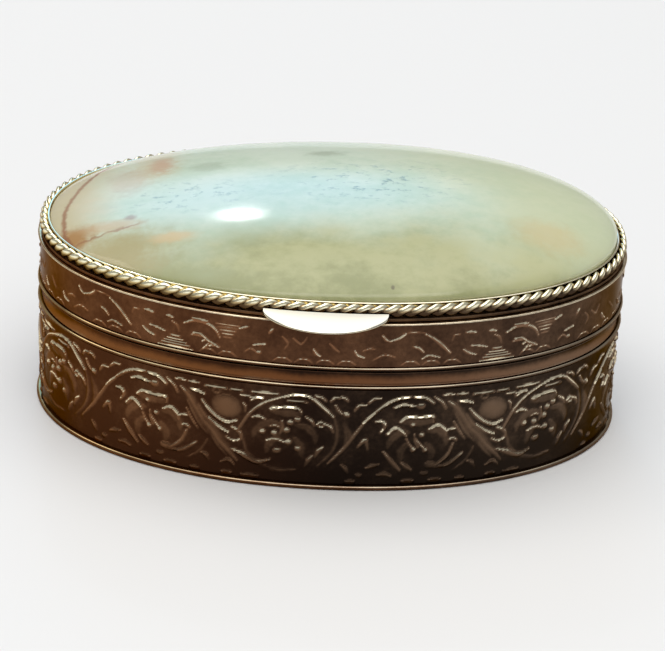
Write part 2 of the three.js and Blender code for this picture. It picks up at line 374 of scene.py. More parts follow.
@dataclass
class Carving:
    """A strip of carving that repeats round a wall, kept as heights over its ground.

    Places on it are the arc length along the outline from the front centre, and the height.
    """

    period: float
    bottom: float
    top: float
    pitch: float = 0.05
    lobe_depth: float = 0.28
    least_half_width: float = 0.02
    crease_width: float = 0.14
    steep_power: float = 0.6
    soft_power: float = 1.3
    columns: int = field(init=False)
    rows: int = field(init=False)
    relief: Array = field(init=False)
    repeats: ClassVar[int] = 1

    def __post_init__(self) -> None:
        """Starts with a bare ground."""
        self.columns = round(self.period / self.pitch)
        self.rows = round((self.top - self.bottom) / self.pitch)
        self.relief = np.zeros((self.rows, self.columns))

    @classmethod
    def along(cls, length: float, extent: Extent) -> "Carving":
        """Draws a strip that fits a wall a whole number of times.

        Args:
            length: The length of the wall's outline.
            extent: The wall's extent.

        Returns:
            The drawn strip.
        """
        strip = cls(length / cls.repeats, extent.bottom, extent.top)
        strip.draw()
        return strip

    def draw(self) -> None:
        """Draws one repeat, in each kind of carving its own."""
        raise NotImplementedError

    def _window(self, low: Array, high: Array) -> tuple[Array, Array, Array, Array]:
        """The part of the strip between two corners.

        Args:
            low: The lower left corner.
            high: The upper right corner.

        Returns:
            Index arrays for rows and columns, and the arc length and height of each cell.
        """
        first = math.floor(low[0] / self.pitch)
        along = np.arange(first, math.ceil(high[0] / self.pitch) + 1)
        start = max(0, math.floor((low[1] - self.bottom) / self.pitch))
        end = min(self.rows, math.ceil((high[1] - self.bottom) / self.pitch) + 1)
        up = np.arange(start, max(start, end))
        arcs, heights = np.meshgrid(along * self.period / self.columns, up * self.pitch + self.bottom)
        return up[:, None], (along % self.columns)[None, :], arcs, heights

    def _mark(self, rows: Array, columns: Array, rise: Array) -> None:
        """Keeps the strongest mark on each cell of a window."""
        self.relief[rows, columns] = np.maximum(self.relief[rows, columns], rise)

    def stroke(
        self,
        points: Sequence[Point],
        widths: Sequence[float],
        height: float,
        *,
        crease: float = 0,
        lobes: float = 0,
        soft: bool = False,
    ) -> None:
        """Draws a stem, a leaf or a tool mark along a smooth curve.

        Args:
            points: The curve's points.
            widths: The widths at even shares of the curve.
            height: The rise of the middle of the mark.
            crease: The share of the rise that a groove along the middle takes away.
            lobes: The number of lobes that notch the mark's edges.
            soft: Whether its sides rise gently, instead of steeply to a flat top.
        """
        path = smooth_path(points)
        shares = np.linspace(0, 1, len(path))
        halves = np.interp(shares, np.linspace(0, 1, len(widths)), widths) / 2
        if lobes:
            notches = 1 - np.abs(np.sin(shares * lobes * math.pi))
            halves = halves * (1 - self.lobe_depth * notches)
        reach = halves.max()
        rows, columns, arcs, heights = self._window(path.min(0) - reach, path.max(0) + reach)
        nearest = np.full(arcs.shape, np.inf)
        half_there = np.ones(arcs.shape)
        for (arc, level), half in zip(path, halves):
            away = ((arcs - arc) ** 2 + (heights - level) ** 2) / max(half, self.least_half_width) ** 2
            closer = away < nearest
            nearest[closer] = away[closer]
            half_there[closer] = half
        rise = height * np.clip(1 - nearest, 0, 1) ** (self.soft_power if soft else self.steep_power)
        if crease:
            off_middle = np.sqrt(nearest) * half_there
            rise = rise * (1 - crease * np.exp(-((off_middle / self.crease_width) ** 2)))
        self._mark(rows, columns, rise)

    def dome(self, centre: Point, radii: Point, height: float, lean: float = 0) -> None:
        """Draws a boss or a bud.

        Args:
            centre: The middle of the mark.
            radii: Its half length and half width.
            height: The rise of the mark.
            lean: The angle of its length from the horizontal, in degrees.
        """
        reach = max(radii)
        middle = np.array(centre)
        rows, columns, arcs, heights = self._window(middle - reach, middle + reach)
        cosine, sine = math.cos(math.radians(lean)), math.sin(math.radians(lean))
        arc, level = arcs - middle[0], heights - middle[1]
        along = (arc * cosine + level * sine) / radii[0]
        across = (level * cosine - arc * sine) / radii[1]
        rise = np.clip(1 - along**2 - across**2, 0, 1) ** self.steep_power
        self._mark(rows, columns, height * rise)

    def blurred(self, cells: Array, reach: float) -> Array:
        """Smooths cells round the wall as well as up it.

        Args:
            cells: Heights or marks, one for each cell.
            reach: The distance that they are smoothed over.

        Returns:
            The smoothed cells.
        """
        mirrored = np.vstack([cells, cells[::-1]])
        along = np.fft.fftfreq(mirrored.shape[1], self.pitch)[None, :]
        up = np.fft.fftfreq(mirrored.shape[0], self.pitch)[:, None]
        filter_ = np.exp(-2 * (math.pi * reach) ** 2 * (along**2 + up**2))
        return np.fft.ifft2(np.fft.fft2(mirrored) * filter_).real[: cells.shape[0]]

    def sampled(self, cells: Array, arcs: Array, heights: Array) -> Array:
        """Reads cells of the strip at some places.

        Args:
            cells: Heights or marks, one for each cell.
            arcs: Arc lengths along the outline, one for each column.
            heights: Heights, one for each row.

        Returns:
            The value at each row and column.
        """
        across = arcs / self.period * self.columns
        left = np.floor(across).astype(int)
        right_share = across - left
        up = np.clip((heights - self.bottom) / self.pitch, 0, self.rows - 1.001)
        lower = np.floor(up).astype(int)
        upper_share = (up - lower)[:, None]
        near, far = left % self.columns, (left + 1) % self.columns
        level = cells[:, near] * (1 - right_share) + cells[:, far] * right_share
        return level[lower] * (1 - upper_share) + level[lower + 1] * upper_share


@dataclass
class BoxCarving(Carving):
    """The embossed scrolls of the box's wall: two blooms in rings of stem, a long leaf and a boss."""

    repeats: ClassVar[int] = 6
    bold: float = 0.3
    plain: float = 0.22
    faint: float = 0.13
    rib_share: float = 0.9
    dash_lift: float = 0.08

    def draw(self) -> None:
        """Draws one repeat, which holds two blooms."""
        self._first_ring()
        self._first_bloom()
        self._crossing()
        self._second_ring()
        self._second_bloom()
        self._long_leaf()
        self._boss()
        self._undergrowth()
        self._border()

    def _first_ring(self) -> None:
        """The stem that arches over the first bloom and comes down on its right."""
        rise = [(-10.8, 7.4), (-9.4, 9.8), (-7.8, 11.3), (-5.7, 12.3)]
        self.stroke(rise, [0.35, 0.5, 0.45, 0.3], self.plain, soft=True)
        arch = [(-5.6, 12.3), (-4, 12.75), (-2.2, 12.55), (-0.6, 11.3), (0.75, 10)]
        self.stroke(arch, [0.3, 0.42, 0.45, 0.45, 0.3], self.bold)
        fall = [(0.9, 9.8), (1.3, 8.2), (1.2, 6.3), (0.4, 4.6), (-1, 3)]
        self.stroke(fall, [0.35, 0.6, 0.5, 0.3], self.faint, soft=True)
        lower = [(-10.2, 6), (-9.6, 4.2), (-8, 2.9), (-6, 2.2), (-3.6, 2.4)]
        self.stroke(lower, [0.3, 0.7, 0.7, 0.4], self.faint, soft=True)
        self.stroke([(-9.4, 11.5), (-8.7, 11.95), (-7.9, 11.95)], [0.3, 0.45, 0.3], self.bold)
        self.stroke([(-5, 11.85), (-3.8, 11.9), (-2.5, 11.8)], [0.2, 0.3, 0.2], self.plain)

    def _first_bloom(self) -> None:
        """The bloom whose cup is seen from the side."""
        for points in (
            [(-7, 10.3), (-5, 10.2), (-3, 10.1)],
            [(-5.6, 8.6), (-7.2, 8.7), (-8.6, 7.7), (-9, 6.5)],
            [(-3.9, 8.6), (-2.4, 8.4), (-1.4, 7.3), (-1.3, 6.2)],
            [(-5.8, 7), (-6.9, 5.9), (-7.4, 4.4)],
            [(-4, 6.9), (-3.1, 5.8), (-2.9, 4.3)],
        ):
            self.stroke(points, [0.5, 1.3, 1.35, 0.5], self.faint, soft=True, crease=0.45, lobes=3)
        cup = [(-6.9, 10.6), (-6, 10.85), (-4.8, 11), (-3.6, 10.9), (-3.1, 10.3)]
        self.stroke(cup, [0.45, 0.35, 0.35, 0.38, 0.2], self.bold)
        self.dome((-6.6, 10.65), (0.5, 0.36), self.bold)
        for points in (
            [(-2.6, 9.8), (-1.9, 9.3), (-1.5, 8.7)],
            [(-0.2, 9), (0.5, 8.55), (0.85, 7.9)],
            [(-9.2, 9.2), (-8.4, 9.4), (-7.6, 9.1)],
            [(-7, 8.2), (-6.4, 8.4), (-5.8, 8.2)],
            [(-7.3, 6.2), (-6.2, 6.5), (-5, 6.1)],
            [(-5.5, 9.1), (-5.4, 8.2), (-5.7, 7.3)],
        ):
            self.stroke(points, [0.28, 0.45, 0.26], self.plain)
        curl = [(-1.15, 8.9), (-0.75, 9.25), (-0.35, 8.9), (-0.7, 8.5), (-1.1, 8.8)]
        self.stroke(curl, [0.3, 0.32, 0.3], self.bold)
        self.dome((-6, 4.9), (0.6, 0.38), self.plain, lean=10)
        buds = [(-4.6, 6.2), (-3.6, 9.4), (-4.5, 8.9), (-4.9, 7.8), (-7.9, 7.4), (-6.4, 7.3), (-3.4, 5.4)]
        for place in buds:
            self.dome(place, (0.44, 0.38), self.bold)

    def _crossing(self) -> None:
        """The sprays and hooks where the two rings meet."""
        spray = [(1.9, 9.4), (2.6, 7.9), (2.5, 6.2), (1.7, 4.9)]
        self.stroke(spray, [0.3, 1.3, 1, 0.2], self.faint, soft=True, crease=0.5, lobes=4)
        for points in (
            [(-1.6, 12.8), (-0.8, 12.6), (-0.2, 12.1)],
            [(0.35, 12.1), (0.8, 12.6), (1.5, 12.6)],
            [(1.6, 12.8), (2.1, 12.6), (2.5, 12.2)],
            [(0.95, 11.6), (1.3, 10.95), (1.8, 10.45)],
            [(3.3, 10.9), (3.9, 11.7), (4.7, 11.75)],
            [(5, 12), (5.7, 12.65), (6.5, 12.7)],
        ):
            self.stroke(points, [0.26, 0.42, 0.24], self.plain)
        self.dome((2.35, 10.4), (0.5, 0.34), self.bold, lean=-40)

    def _second_ring(self) -> None:
        """The stem that climbs to the right and arches over the second bloom."""
        climb = [(0.3, 3.4), (1.9, 5.3), (3.2, 7.2), (4.5, 9.2)]
        self.stroke(climb, [0.25, 0.5, 0.55, 0.4], self.plain, soft=True)
        self.stroke([(4.45, 9.2), (5.15, 10), (5.9, 10.75)], [0.34, 0.44, 0.36], self.bold)
        arch = [(6.1, 11), (7.4, 12.05), (8.75, 12.65), (10.1, 12.8)]
        self.stroke(arch, [0.34, 0.45, 0.42, 0.25], self.bold)
        self.stroke([(10.5, 12.8), (12, 12.6), (13.1, 11.8)], [0.28, 0.46, 0.26], self.bold)
        self.stroke([(13.1, 12.7), (14.1, 11.9), (14.65, 11)], [0.22, 0.4, 0.3], self.plain)
        self.stroke([(8.2, 11.4), (9.25, 11.75), (10.75, 11.55)], [0.3, 0.46, 0.32], self.bold)
        self.dome((11.5, 11.5), (0.6, 0.42), self.plain)
        self.stroke([(15.9, 6), (15.2, 4.4), (13.7, 3.1)], [0.3, 0.6, 0.5], self.plain, soft=True)
        self.stroke([(13.6, 2.9), (15.4, 3.2), (17.2, 4.6)], [0.2, 0.5, 0.3], self.plain)
        self.stroke([(16, 2.2), (17.6, 3.4), (18.6, 5.2)], [0.2, 0.4, 0.25], self.faint)
        leaf = [(7.1, 5.3), (8, 4.1), (9.3, 2.6)]
        self.stroke(leaf, [0.25, 0.62, 0.34], self.plain)

    def _second_bloom(self) -> None:
        """The bloom seen from the front, with drooping petals and a bundle of stamens."""
        for points in (
            [(9.2, 9.4), (11.3, 9.3), (13.2, 9.3)],
            [(10.3, 7.9), (9.1, 7.9), (8, 7), (7.6, 5.8)],
            [(12.5, 8), (13.9, 8), (14.9, 7), (15, 5.9)],
            [(10.2, 6.5), (9.3, 5.4), (9.3, 3.9)],
            [(12.3, 6.4), (13.2, 5.2), (13.1, 3.9)],
        ):
            self.stroke(points, [0.5, 1.35, 1.4, 0.5], self.faint, soft=True, crease=0.45, lobes=3)
        petal = [(9.1, 9.4), (9.9, 10.05), (11.5, 9.95), (13, 10.05), (13.2, 9.3)]
        self.stroke(petal, [0.42, 0.46, 0.4, 0.46, 0.34], self.bold)
        petal = [(7.5, 7.7), (8.4, 8.55), (9.2, 8.15), (9.9, 7.4)]
        self.stroke(petal, [0.34, 0.55, 0.42, 0.24], self.bold)
        petal = [(12.7, 8.3), (13.8, 8.75), (14.7, 8), (14.9, 7.3)]
        self.stroke(petal, [0.24, 0.5, 0.55, 0.24], self.bold)
        self.stroke([(14.9, 7.9), (15.4, 8.1), (16, 8.15)], [0.24, 0.4, 0.28], self.plain)
        self.stroke([(15.3, 6.7), (15.9, 6.75), (16.3, 6.4)], [0.3, 0.46, 0.26], self.plain)
        curl = [(6, 9.5), (6.8, 9.45), (7.15, 8.8), (6.6, 7.9)]
        self.stroke(curl, [0.32, 0.5, 0.4, 0.2], self.bold)
        for points in (
            [(11, 7), (11.6, 6.2), (12.3, 5.5)],
            [(9.9, 7), (10.3, 6.2), (10.8, 5.6)],
            [(10.9, 7.6), (11, 6.6), (11.4, 5.8)],
        ):
            self.stroke(points, [0.22, 0.3, 0.32], self.plain)
        for place in ((10.6, 9), (11.8, 7.5), (12.3, 5.4), (10.8, 5.5)):
            self.dome(place, (0.36, 0.32), self.bold)

    def _long_leaf(self) -> None:
        """The long leaf that falls beside the second bloom, drawn as a bundle of ribs."""
        spine = [(15, 11.9), (16, 11.1), (16.75, 10), (17.4, 9), (18.1, 7.9), (19.25, 6.7)]
        spine += [(20.25, 5.3), (21.5, 4), (22.5, 2.8)]
        self.stroke(spine, [0.4, 1.6, 2.3, 2.1, 1.4, 0.4], self.faint, soft=True)
        self.stroke(spine, [0.22, 0.4, 0.46, 0.46, 0.5, 0.5, 0.24], self.plain)
        for points in (
            [(15.9, 10.3), (16.6, 8.9), (17.5, 7.4), (18.6, 6.1)],
            [(15.8, 9.1), (16.5, 7.8), (17.4, 6.5)],
            [(17.3, 10), (18, 8.9), (18.8, 7.9), (19.7, 7)],
            [(19.2, 5.9), (20.1, 4.6), (21.2, 3.4)],
        ):
            self.stroke(points, [0.16, 0.32, 0.3, 0.16], self.plain * self.rib_share)
        crescent = [(21.7, 4.5), (23.2, 3.9), (24.9, 3.1), (26.6, 3.6)]
        self.stroke(crescent, [0.2, 0.8, 0.66, 0.2], self.bold)

    def _boss(self) -> None:
        """The smooth boss and the scrolls that hold it."""
        self.dome((20.9, 10.3), (2, 1.6), self.plain, lean=-10)
        scroll = [(17.8, 10.6), (18.9, 9.3), (20.2, 8.4), (21.2, 8.1), (22.2, 8.45)]
        self.stroke(scroll, [0.26, 0.5, 0.52, 0.52, 0.34], self.bold)
        self.stroke([(18.7, 8.4), (19.9, 7.4), (21.2, 6.7)], [0.22, 0.5, 0.36], self.bold)
        curl = [(21.7, 7.5), (22.6, 7), (22.9, 6.1), (22, 5.6), (21, 6)]
        self.stroke(curl, [0.4, 0.46, 0.36, 0.36, 0.24], self.plain)
        self.stroke([(16.3, 11.85), (17.2, 11.75), (18.1, 11.45)], [0.3, 0.52, 0.3], self.bold)
        self.stroke([(22.6, 12.1), (23.3, 12.05), (24.1, 11.9)], [0.24, 0.4, 0.24], self.plain)
        self.stroke([(23, 11), (23.3, 10.5), (23.3, 9.9)], [0.26, 0.38, 0.22], self.plain)
        loop = [(19.1, 12.2), (19.6, 12.6), (20.1, 12.2), (19.6, 11.8), (19.1, 12.2)]
        self.stroke(loop, [0.22, 0.24, 0.22], self.faint)

    def _undergrowth(self) -> None:
        """Small leaves and buds along the lower edge."""
        for points in (
            [(5, 3), (5.8, 3.35), (6.6, 3.5)],
            [(2, 3.4), (2.5, 2.9), (2.9, 2.3)],
            [(17.8, 3.4), (18.5, 3.1), (19, 2.3)],
            [(-2.5, 3), (-2.1, 3.8), (-1.6, 4.5)],
            [(-1.3, 4.3), (-0.9, 5.2), (-0.3, 5.8)],
            [(9.3, 3.8), (10, 3.2), (10.8, 2.6)],
            [(3.9, 5.9), (4.8, 6.9), (5.2, 5.6)],
            [(6.4, 2), (7.4, 2.2), (8.3, 1.8)],
            [(-13, 2.4), (-12, 2.9), (-11.2, 2.2)],
        ):
            self.stroke(points, [0.2, 0.6, 0.24], self.plain)
        for centre, radii in (((13.1, 3.3), (0.8, 0.5)), ((12.4, 2.1), (0.6, 0.3)), ((4.2, 2), (0.5, 0.3))):
            self.dome(centre, radii, self.plain)

    def _border(self) -> None:
        """Uneven dashes along the top, between the rings, and along the bottom."""
        dashes = [(14.3, 15.6, 12.85), (16, 17.4, 12.8), (18.1, 20.9, 12.6), (21.3, 22.9, 12.6)]
        dashes += [(24, 27.3, 12.65), (2.6, 3.7, 1.1), (9.6, 11.1, 1.15), (13, 14.6, 1.15)]
        dashes += [(16.5, 17.6, 1.1), (20.5, 21.8, 1.15), (23, 25.2, 1.1)]
        for start, end, level in dashes:
            middle = ((start + end) / 2, level + self.dash_lift)
            self.stroke([(start, level), middle, (end, level)], [0.24, 0.42, 0.24], self.plain)


@dataclass
class LidCarving(Carving):
    """The lighter engraving of the lid's wall: scrolls, leaves and hatched pyramids."""

    repeats: ClassVar[int] = 5
    bold: float = 0.17
    faint: float = 0.1

    def draw(self) -> None:
        """Draws one repeat."""
        self._pyramids()
        self._long_leaves()
        self._sprigs()
        self._volute()
        self._scallops()

    def _pyramids(self) -> None:
        """Stacks of short lines, one standing and one hanging."""
        for line in range(5):
            half = 2.3 * (1 - line / 5.5)
            level = 17.15 + 0.37 * line
            self.stroke([(20.8 - half, level), (20.8 + half, level)], [0.16, 0.25, 0.16], self.bold)
            half = 1.5 * (1 - line / 6)
            level = 21.3 - 0.42 * line
            self.stroke([(-12.6 - half, level), (-12.6 + half, level)], [0.14, 0.22, 0.14], self.faint)

    def _long_leaves(self) -> None:
        """Long strokes cut with one sweep of the tool."""
        leaf = [(11.4, 21.35), (12.6, 20.6), (13.6, 19.7), (14.7, 18.6)]
        self.stroke(leaf, [0.22, 0.38, 0.48, 0.2], self.bold)
        for start, end, level in ((16.6, 17.8, 21.2), (19.6, 20.4, 21.1), (23, 24.8, 21.4)):
            points = [(start, level + 0.05), ((start + end) / 2, level + 0.02), (end, level - 0.05)]
            self.stroke(points, [0.26, 0.42, 0.26], self.bold)
        self.stroke([(8.6, 21.5), (10, 21.6), (11.4, 21.5)], [0.1, 0.2, 0.1], self.faint)
        s_curve = [(-16.9, 19.5), (-16, 19.5), (-15, 18.8), (-14, 18.3)]
        self.stroke(s_curve, [0.3, 0.3, 0.22, 0.36], self.bold)

    def _sprigs(self) -> None:
        """Short curls and pairs of leaves."""
        for points in (
            [(2.9, 19.1), (3.3, 18.5), (4.1, 18.2)],
            [(6.2, 21.2), (6.6, 20.7), (7.2, 20.4)],
            [(7.3, 20.5), (8.2, 20.8), (9, 21.4)],
            [(10.1, 19.7), (10.8, 19.4), (11.3, 18.9)],
            [(11.2, 18), (12, 18.4), (13.4, 18.1)],
            [(16.4, 18.9), (17.1, 18.4), (18, 18.1)],
            [(17.3, 19.4), (18.3, 19.25), (19.4, 19)],
            [(-11.2, 21), (-10.6, 21.2), (-10.1, 21.4)],
            [(-7.5, 20.8), (-7.3, 21.1), (-7.1, 21.4)],
            [(-9.4, 19), (-8.7, 19.15), (-7.9, 19.3)],
            [(-2.1, 19.1), (-1.7, 18.5), (-1.2, 18.2)],
        ):
            self.stroke(points, [0.22, 0.38, 0.22], self.bold)
        for points in (
            [(-0.2, 20), (0.4, 19.4), (1.1, 18.8)],
            [(3.9, 19.1), (4.6, 19.4), (5.4, 19.4)],
            [(14.8, 20.3), (15.1, 21), (15.8, 21)],
            [(-4.6, 20.4), (-3.6, 19.7), (-2.9, 20.6)],
            [(-10.4, 18), (-9.7, 18.5), (-8.8, 18)],
            [(5.2, 17.9), (6.5, 18.6), (7.9, 18.3)],
            [(-5.6, 18.9), (-5.2, 19.7), (-5.9, 20.5)],
        ):
            self.stroke(points, [0.14, 0.26, 0.14], self.faint)
        self.dome((-8.7, 18.1), (0.34, 0.26), self.bold)

    def _volute(self) -> None:
        """The open scroll beside the pyramid, with a bud inside it."""
        turn = [(21.9, 20.6), (23.2, 21.15), (24.8, 21.05), (25.9, 20.4), (26.5, 19.4)]
        self.stroke(turn, [0.26, 0.4, 0.42, 0.36, 0.2], self.bold)
        self.stroke([(20.3, 20.5), (21, 20.1), (21.3, 19.3)], [0.2, 0.34, 0.16], self.faint)
        for points in (
            [(22.9, 19.2), (23.5, 19.3), (24.2, 19.2)],
            [(24.3, 18.6), (24.8, 18.85), (25.2, 18.7)],
            [(25.2, 18.1), (25.8, 18.25), (26.4, 18.1)],
            [(24.4, 17.6), (24.8, 18), (25.1, 18.4)],
        ):
            self.stroke(points, [0.22, 0.34, 0.22], self.bold)

    def _scallops(self) -> None:
        """Low arches that stand on the bead between the pyramids."""
        for arc in (-15, -12.6, -5.8, -3.2, -0.6, 2, 9.8, 12.4, 15):
            points = [(arc - 1.1, 17.2), (arc - 0.5, 17.65), (arc + 0.4, 17.65), (arc + 1.1, 17.2)]
            self.stroke(points, [0.12, 0.22, 0.22, 0.12], self.faint)


# Shader maths


class Graph:
    """The nodes of one material or world, with helpers that keep shader maths readable."""

    def __init__(self, tree: bpy.types.NodeTree) -> None:
        """Starts with an empty tree."""
        self.tree = tree
        tree.nodes.clear()

    def node(
        self,
        kind: str,
        settings: dict[str, Any] | None = None,
        inputs: dict[str | int, Any] | None = None,
    ) -> bpy.types.Node:
        """Adds a node.

        Args:
            kind: The node's type.
            settings: Properties that are set first.
            inputs: Values or flows for its sockets, by name or number.

        Returns:
            The new node.
        """
        made = self.tree.nodes.new(kind)
        for name, value in (settings or {}).items():
            setattr(made, name, value)
        for key, value in (inputs or {}).items():
            if isinstance(value, Flow):
                self.tree.links.new(value.socket, made.inputs[key])
            else:
                made.inputs[key].default_value = value
        return made

    def flow(self, made: bpy.types.Node, output: str | int = 0) -> "Flow":
        """One output of a node."""
        return Flow(self, made.outputs[output])

    def attribute(self, name: str) -> "Flow":
        """A number that the mesh carries at each point."""
        made = self.node("ShaderNodeAttribute", {"attribute_name": name})
        return self.flow(made, "Fac")

    def place(self) -> "Flow":
        """The place on the object, in millimetres."""
        made = self.node("ShaderNodeTexCoord")
        return self.flow(made, "Object").scaled(1 / MM)

    def noise(self, place: "Flow", size: float, detail: float = 3, rough: float = 0.5) -> "Flow":
        """Soft noise from 0 to 1 whose patches are about the given size."""
        inputs = {"Vector": place, "Scale": 1 / size, "Detail": detail, "Roughness": rough}
        return self.flow(self.node("ShaderNodeTexNoise", inputs=inputs), 0)

    def mix(self, share: "Flow | float", first: "Flow | Colour", second: "Flow | Colour") -> "Flow":
        """Blends two colours."""
        inputs = {0: share, 6: solid(first), 7: solid(second)}
        return self.flow(self.node("ShaderNodeMix", {"data_type": "RGBA"}, inputs), 2)

    def bump(self, height: "Flow", distance: float, strength: float = 1) -> "Flow":
        """A normal tilted by a height, whose full rise is the distance in millimetres."""
        inputs = {"Strength": strength, "Distance": distance * MM, "Height": height}
        return self.flow(self.node("ShaderNodeBump", inputs=inputs))

    def finish(self, shader: bpy.types.Node, target: str = "ShaderNodeOutputMaterial") -> None:
        """Joins the last shader to the output."""
        self.node(target, inputs={"Surface": self.flow(shader)})


def solid(colour: "Flow | Colour") -> "Flow | tuple[float, ...]":
    """A colour as a socket takes it."""
    return colour if isinstance(colour, Flow) else (*colour, 1)


class Flow:
    """A number or vector that runs between nodes. Its operators add the nodes they need."""

    def __init__(self, graph: Graph, socket: bpy.types.NodeSocket) -> None:
        """Wraps one output socket."""
        self.graph = graph
        self.socket = socket

    def _math(self, operation: str, *values: "Flow | float") -> "Flow":
        """A Math node fed with the values in order."""
        made = self.graph.node("ShaderNodeMath", {"operation": operation}, dict(enumerate(values)))
        return self.graph.flow(made)

    def __add__(self, other: "Flow | float") -> "Flow":
        """The sum."""
        return self._math("ADD", self, other)

    __radd__ = __add__

    def __sub__(self, other: "Flow | float") -> "Flow":
        """The difference."""
        return self._math("SUBTRACT", self, other)

    def __rsub__(self, other: float) -> "Flow":
        """The difference from a number."""
        return self._math("SUBTRACT", other, self)

    def __mul__(self, other: "Flow | float") -> "Flow":
        """The product."""
        return self._math("MULTIPLY", self, other)

    __rmul__ = __mul__

    def __truediv__(self, other: "Flow | float") -> "Flow":
        """The quotient."""
        return self._math("DIVIDE", self, other)

    def __rtruediv__(self, other: float) -> "Flow":
        """The quotient of a number."""
        return self._math("DIVIDE", other, self)

    def __abs__(self) -> "Flow":
        """The size without the sign."""
        return self._math("ABSOLUTE", self)

    def held(self) -> "Flow":
        """The same number, kept from 0 to 1."""
        return self.step_between(0, 1, smooth=False)

    def root(self) -> "Flow":
        """The square root."""
        return self._math("SQRT", self)

    def step_between(self, low: float, high: float, smooth: bool = True) -> "Flow":
        """A rise from 0 at one value to 1 at another.

        Args:
            low: The value where the rise starts.
            high: The value where it ends.
            smooth: Whether it starts and ends gently.

        Returns:
            The risen share, from 0 to 1.
        """
        settings = {"interpolation_type": "SMOOTHSTEP" if smooth else "LINEAR", "clamp": True}
        inputs = {"Value": self, "From Min": low, "From Max": high}
        return self.graph.flow(self.graph.node("ShaderNodeMapRange", settings, inputs))

    def scaled(self, factor: float) -> "Flow":
        """A vector made longer or shorter."""
        made = self.graph.node("ShaderNodeVectorMath", {"operation": "SCALE"}, {0: self, "Scale": factor})
        return self.graph.flow(made)

    def stretched(self, x: float, y: float, z: float) -> "Flow":
        """A vector with each part multiplied by its own factor."""
        made = self.graph.node("ShaderNodeVectorMath", {"operation": "MULTIPLY"}, {0: self, 1: (x, y, z)})
        return self.graph.flow(made)

    def parts(self) -> tuple["Flow", "Flow", "Flow"]:
        """The x, y and z of a vector."""
        made = self.graph.node("ShaderNodeSeparateXYZ", inputs={"Vector": self})
        return self.graph.flow(made, 0), self.graph.flow(made, 1), self.graph.flow(made, 2)


# Finishes


@dataclass(frozen=True)
class Finish:
    """A finish that one Principled shader gives."""

    name: str

    def inputs(self, graph: Graph) -> dict[str, Any]:
        """The shader's inputs, in each finish its own."""
        raise NotImplementedError

    def material(self) -> bpy.types.Material:
        """Builds the material.

        Returns:
            The finished material.
        """
        material = bpy.data.materials.new(self.name)
        material.use_nodes = True
        graph = Graph(material.node_tree)
        graph.finish(graph.node("ShaderNodeBsdfPrincipled", inputs=self.inputs(graph)))
        return material


@dataclass(frozen=True)
class Gilt(Finish):
    """Gilt brass, tarnished dark in its hollows and bright where hands rub it, with painted highlights on
    faces that turn up and painted shade on undersides and low on the walls.
    """

    tarnish_and_shade: Colour
    metal: Colour
    rubbed_and_highlight: Colour
    roughness: float = 0.24
    scratches: float = 0.004
    warm_reflection: Colour = (0.09, 0.03, 0.01)
    warm_reflection_metal: Colour = (0.27, 0.115, 0.045)
    warm_reflection_rubbed_and_highlight: Colour = (0.95, 0.8, 0.5)
    cool_reflection: Colour = (0.03, 0.021, 0.015)
    cool_reflection_metal: Colour = (0.18, 0.12, 0.08)
    rim_tint: Colour = (0.6, 0.5, 0.42)
    warm_reflection_reach: Point = (-4, 34)
    warm_reflection_share: float = 0.7
    cool_reflection_reach: Point = (-4, 32)
    cool_reflection_share: float = 0.65
    tarnish_and_shade_reach: Point = (0.08, 0.5)
    rubbed_and_highlight_reach: Point = (0.55, 0.98)
    cloud_size: float = 5
    cloud_wear: float = 0.35
    cloud_rough: float = 0.16
    fine_size: float = 0.6
    fine_wear: float = 0.18
    fine_rough: float = 0.1
    worn_smooth: float = 0.08
    hairline_size: float = 0.35
    hairline_run: Triple = (0.25, 0.25, 2.4)

    def inputs(self, graph: Graph) -> dict[str, Any]:
        """Ramps the metal from tarnished to bright by the level the mesh carries, which folds painted
        highlights and painted shade in with real wear, and gives it a painted warmer reflection at the left
        and a painted cooler one at the right.

        Args:
            graph: The material's nodes.

        Returns:
            The shader's inputs.
        """
        place = graph.place()
        cloud = graph.noise(place, self.cloud_size, detail=4)
        fine = graph.noise(place, self.fine_size, rough=0.6)
        level = graph.attribute("polish_and_shading") + (cloud - 0.5) * self.cloud_wear + (fine - 0.5) * self.fine_wear
        x, _, _ = place.parts()
        # Painted reflection: warmer colours towards the left end and cooler ones towards the right.
        warm_reflection_mask = (0 - x).step_between(*self.warm_reflection_reach) * self.warm_reflection_share
        cool_reflection_mask = x.step_between(*self.cool_reflection_reach) * self.cool_reflection_share
        tarnish_and_shade = graph.mix(warm_reflection_mask, graph.mix(cool_reflection_mask, self.tarnish_and_shade, self.cool_reflection), self.warm_reflection)
        metal = graph.mix(warm_reflection_mask, graph.mix(cool_reflection_mask, self.metal, self.cool_reflection_metal), self.warm_reflection_metal)
        # The level mixes painted highlights and painted shade with real tarnishing and wear.
        dark = graph.mix(level.step_between(*self.tarnish_and_shade_reach), tarnish_and_shade, metal)
        worn_and_lit = level.step_between(*self.rubbed_and_highlight_reach)
        rough = self.roughness + (cloud - 0.5) * self.cloud_rough + (fine - 0.5) * self.fine_rough
        hairline = graph.noise(place.stretched(*self.hairline_run), self.hairline_size, detail=2, rough=0.7)
        return {
            "Base Color": graph.mix(worn_and_lit, dark, graph.mix(warm_reflection_mask, self.rubbed_and_highlight, self.warm_reflection_rubbed_and_highlight)),
            "Metallic": 1.0,
            "Roughness": (rough - worn_and_lit * self.worn_smooth).held(),
            "Specular Tint": (*self.rim_tint, 1),
            "Normal": graph.bump(hairline * 0.5 + fine * 0.5, self.scratches),
        }


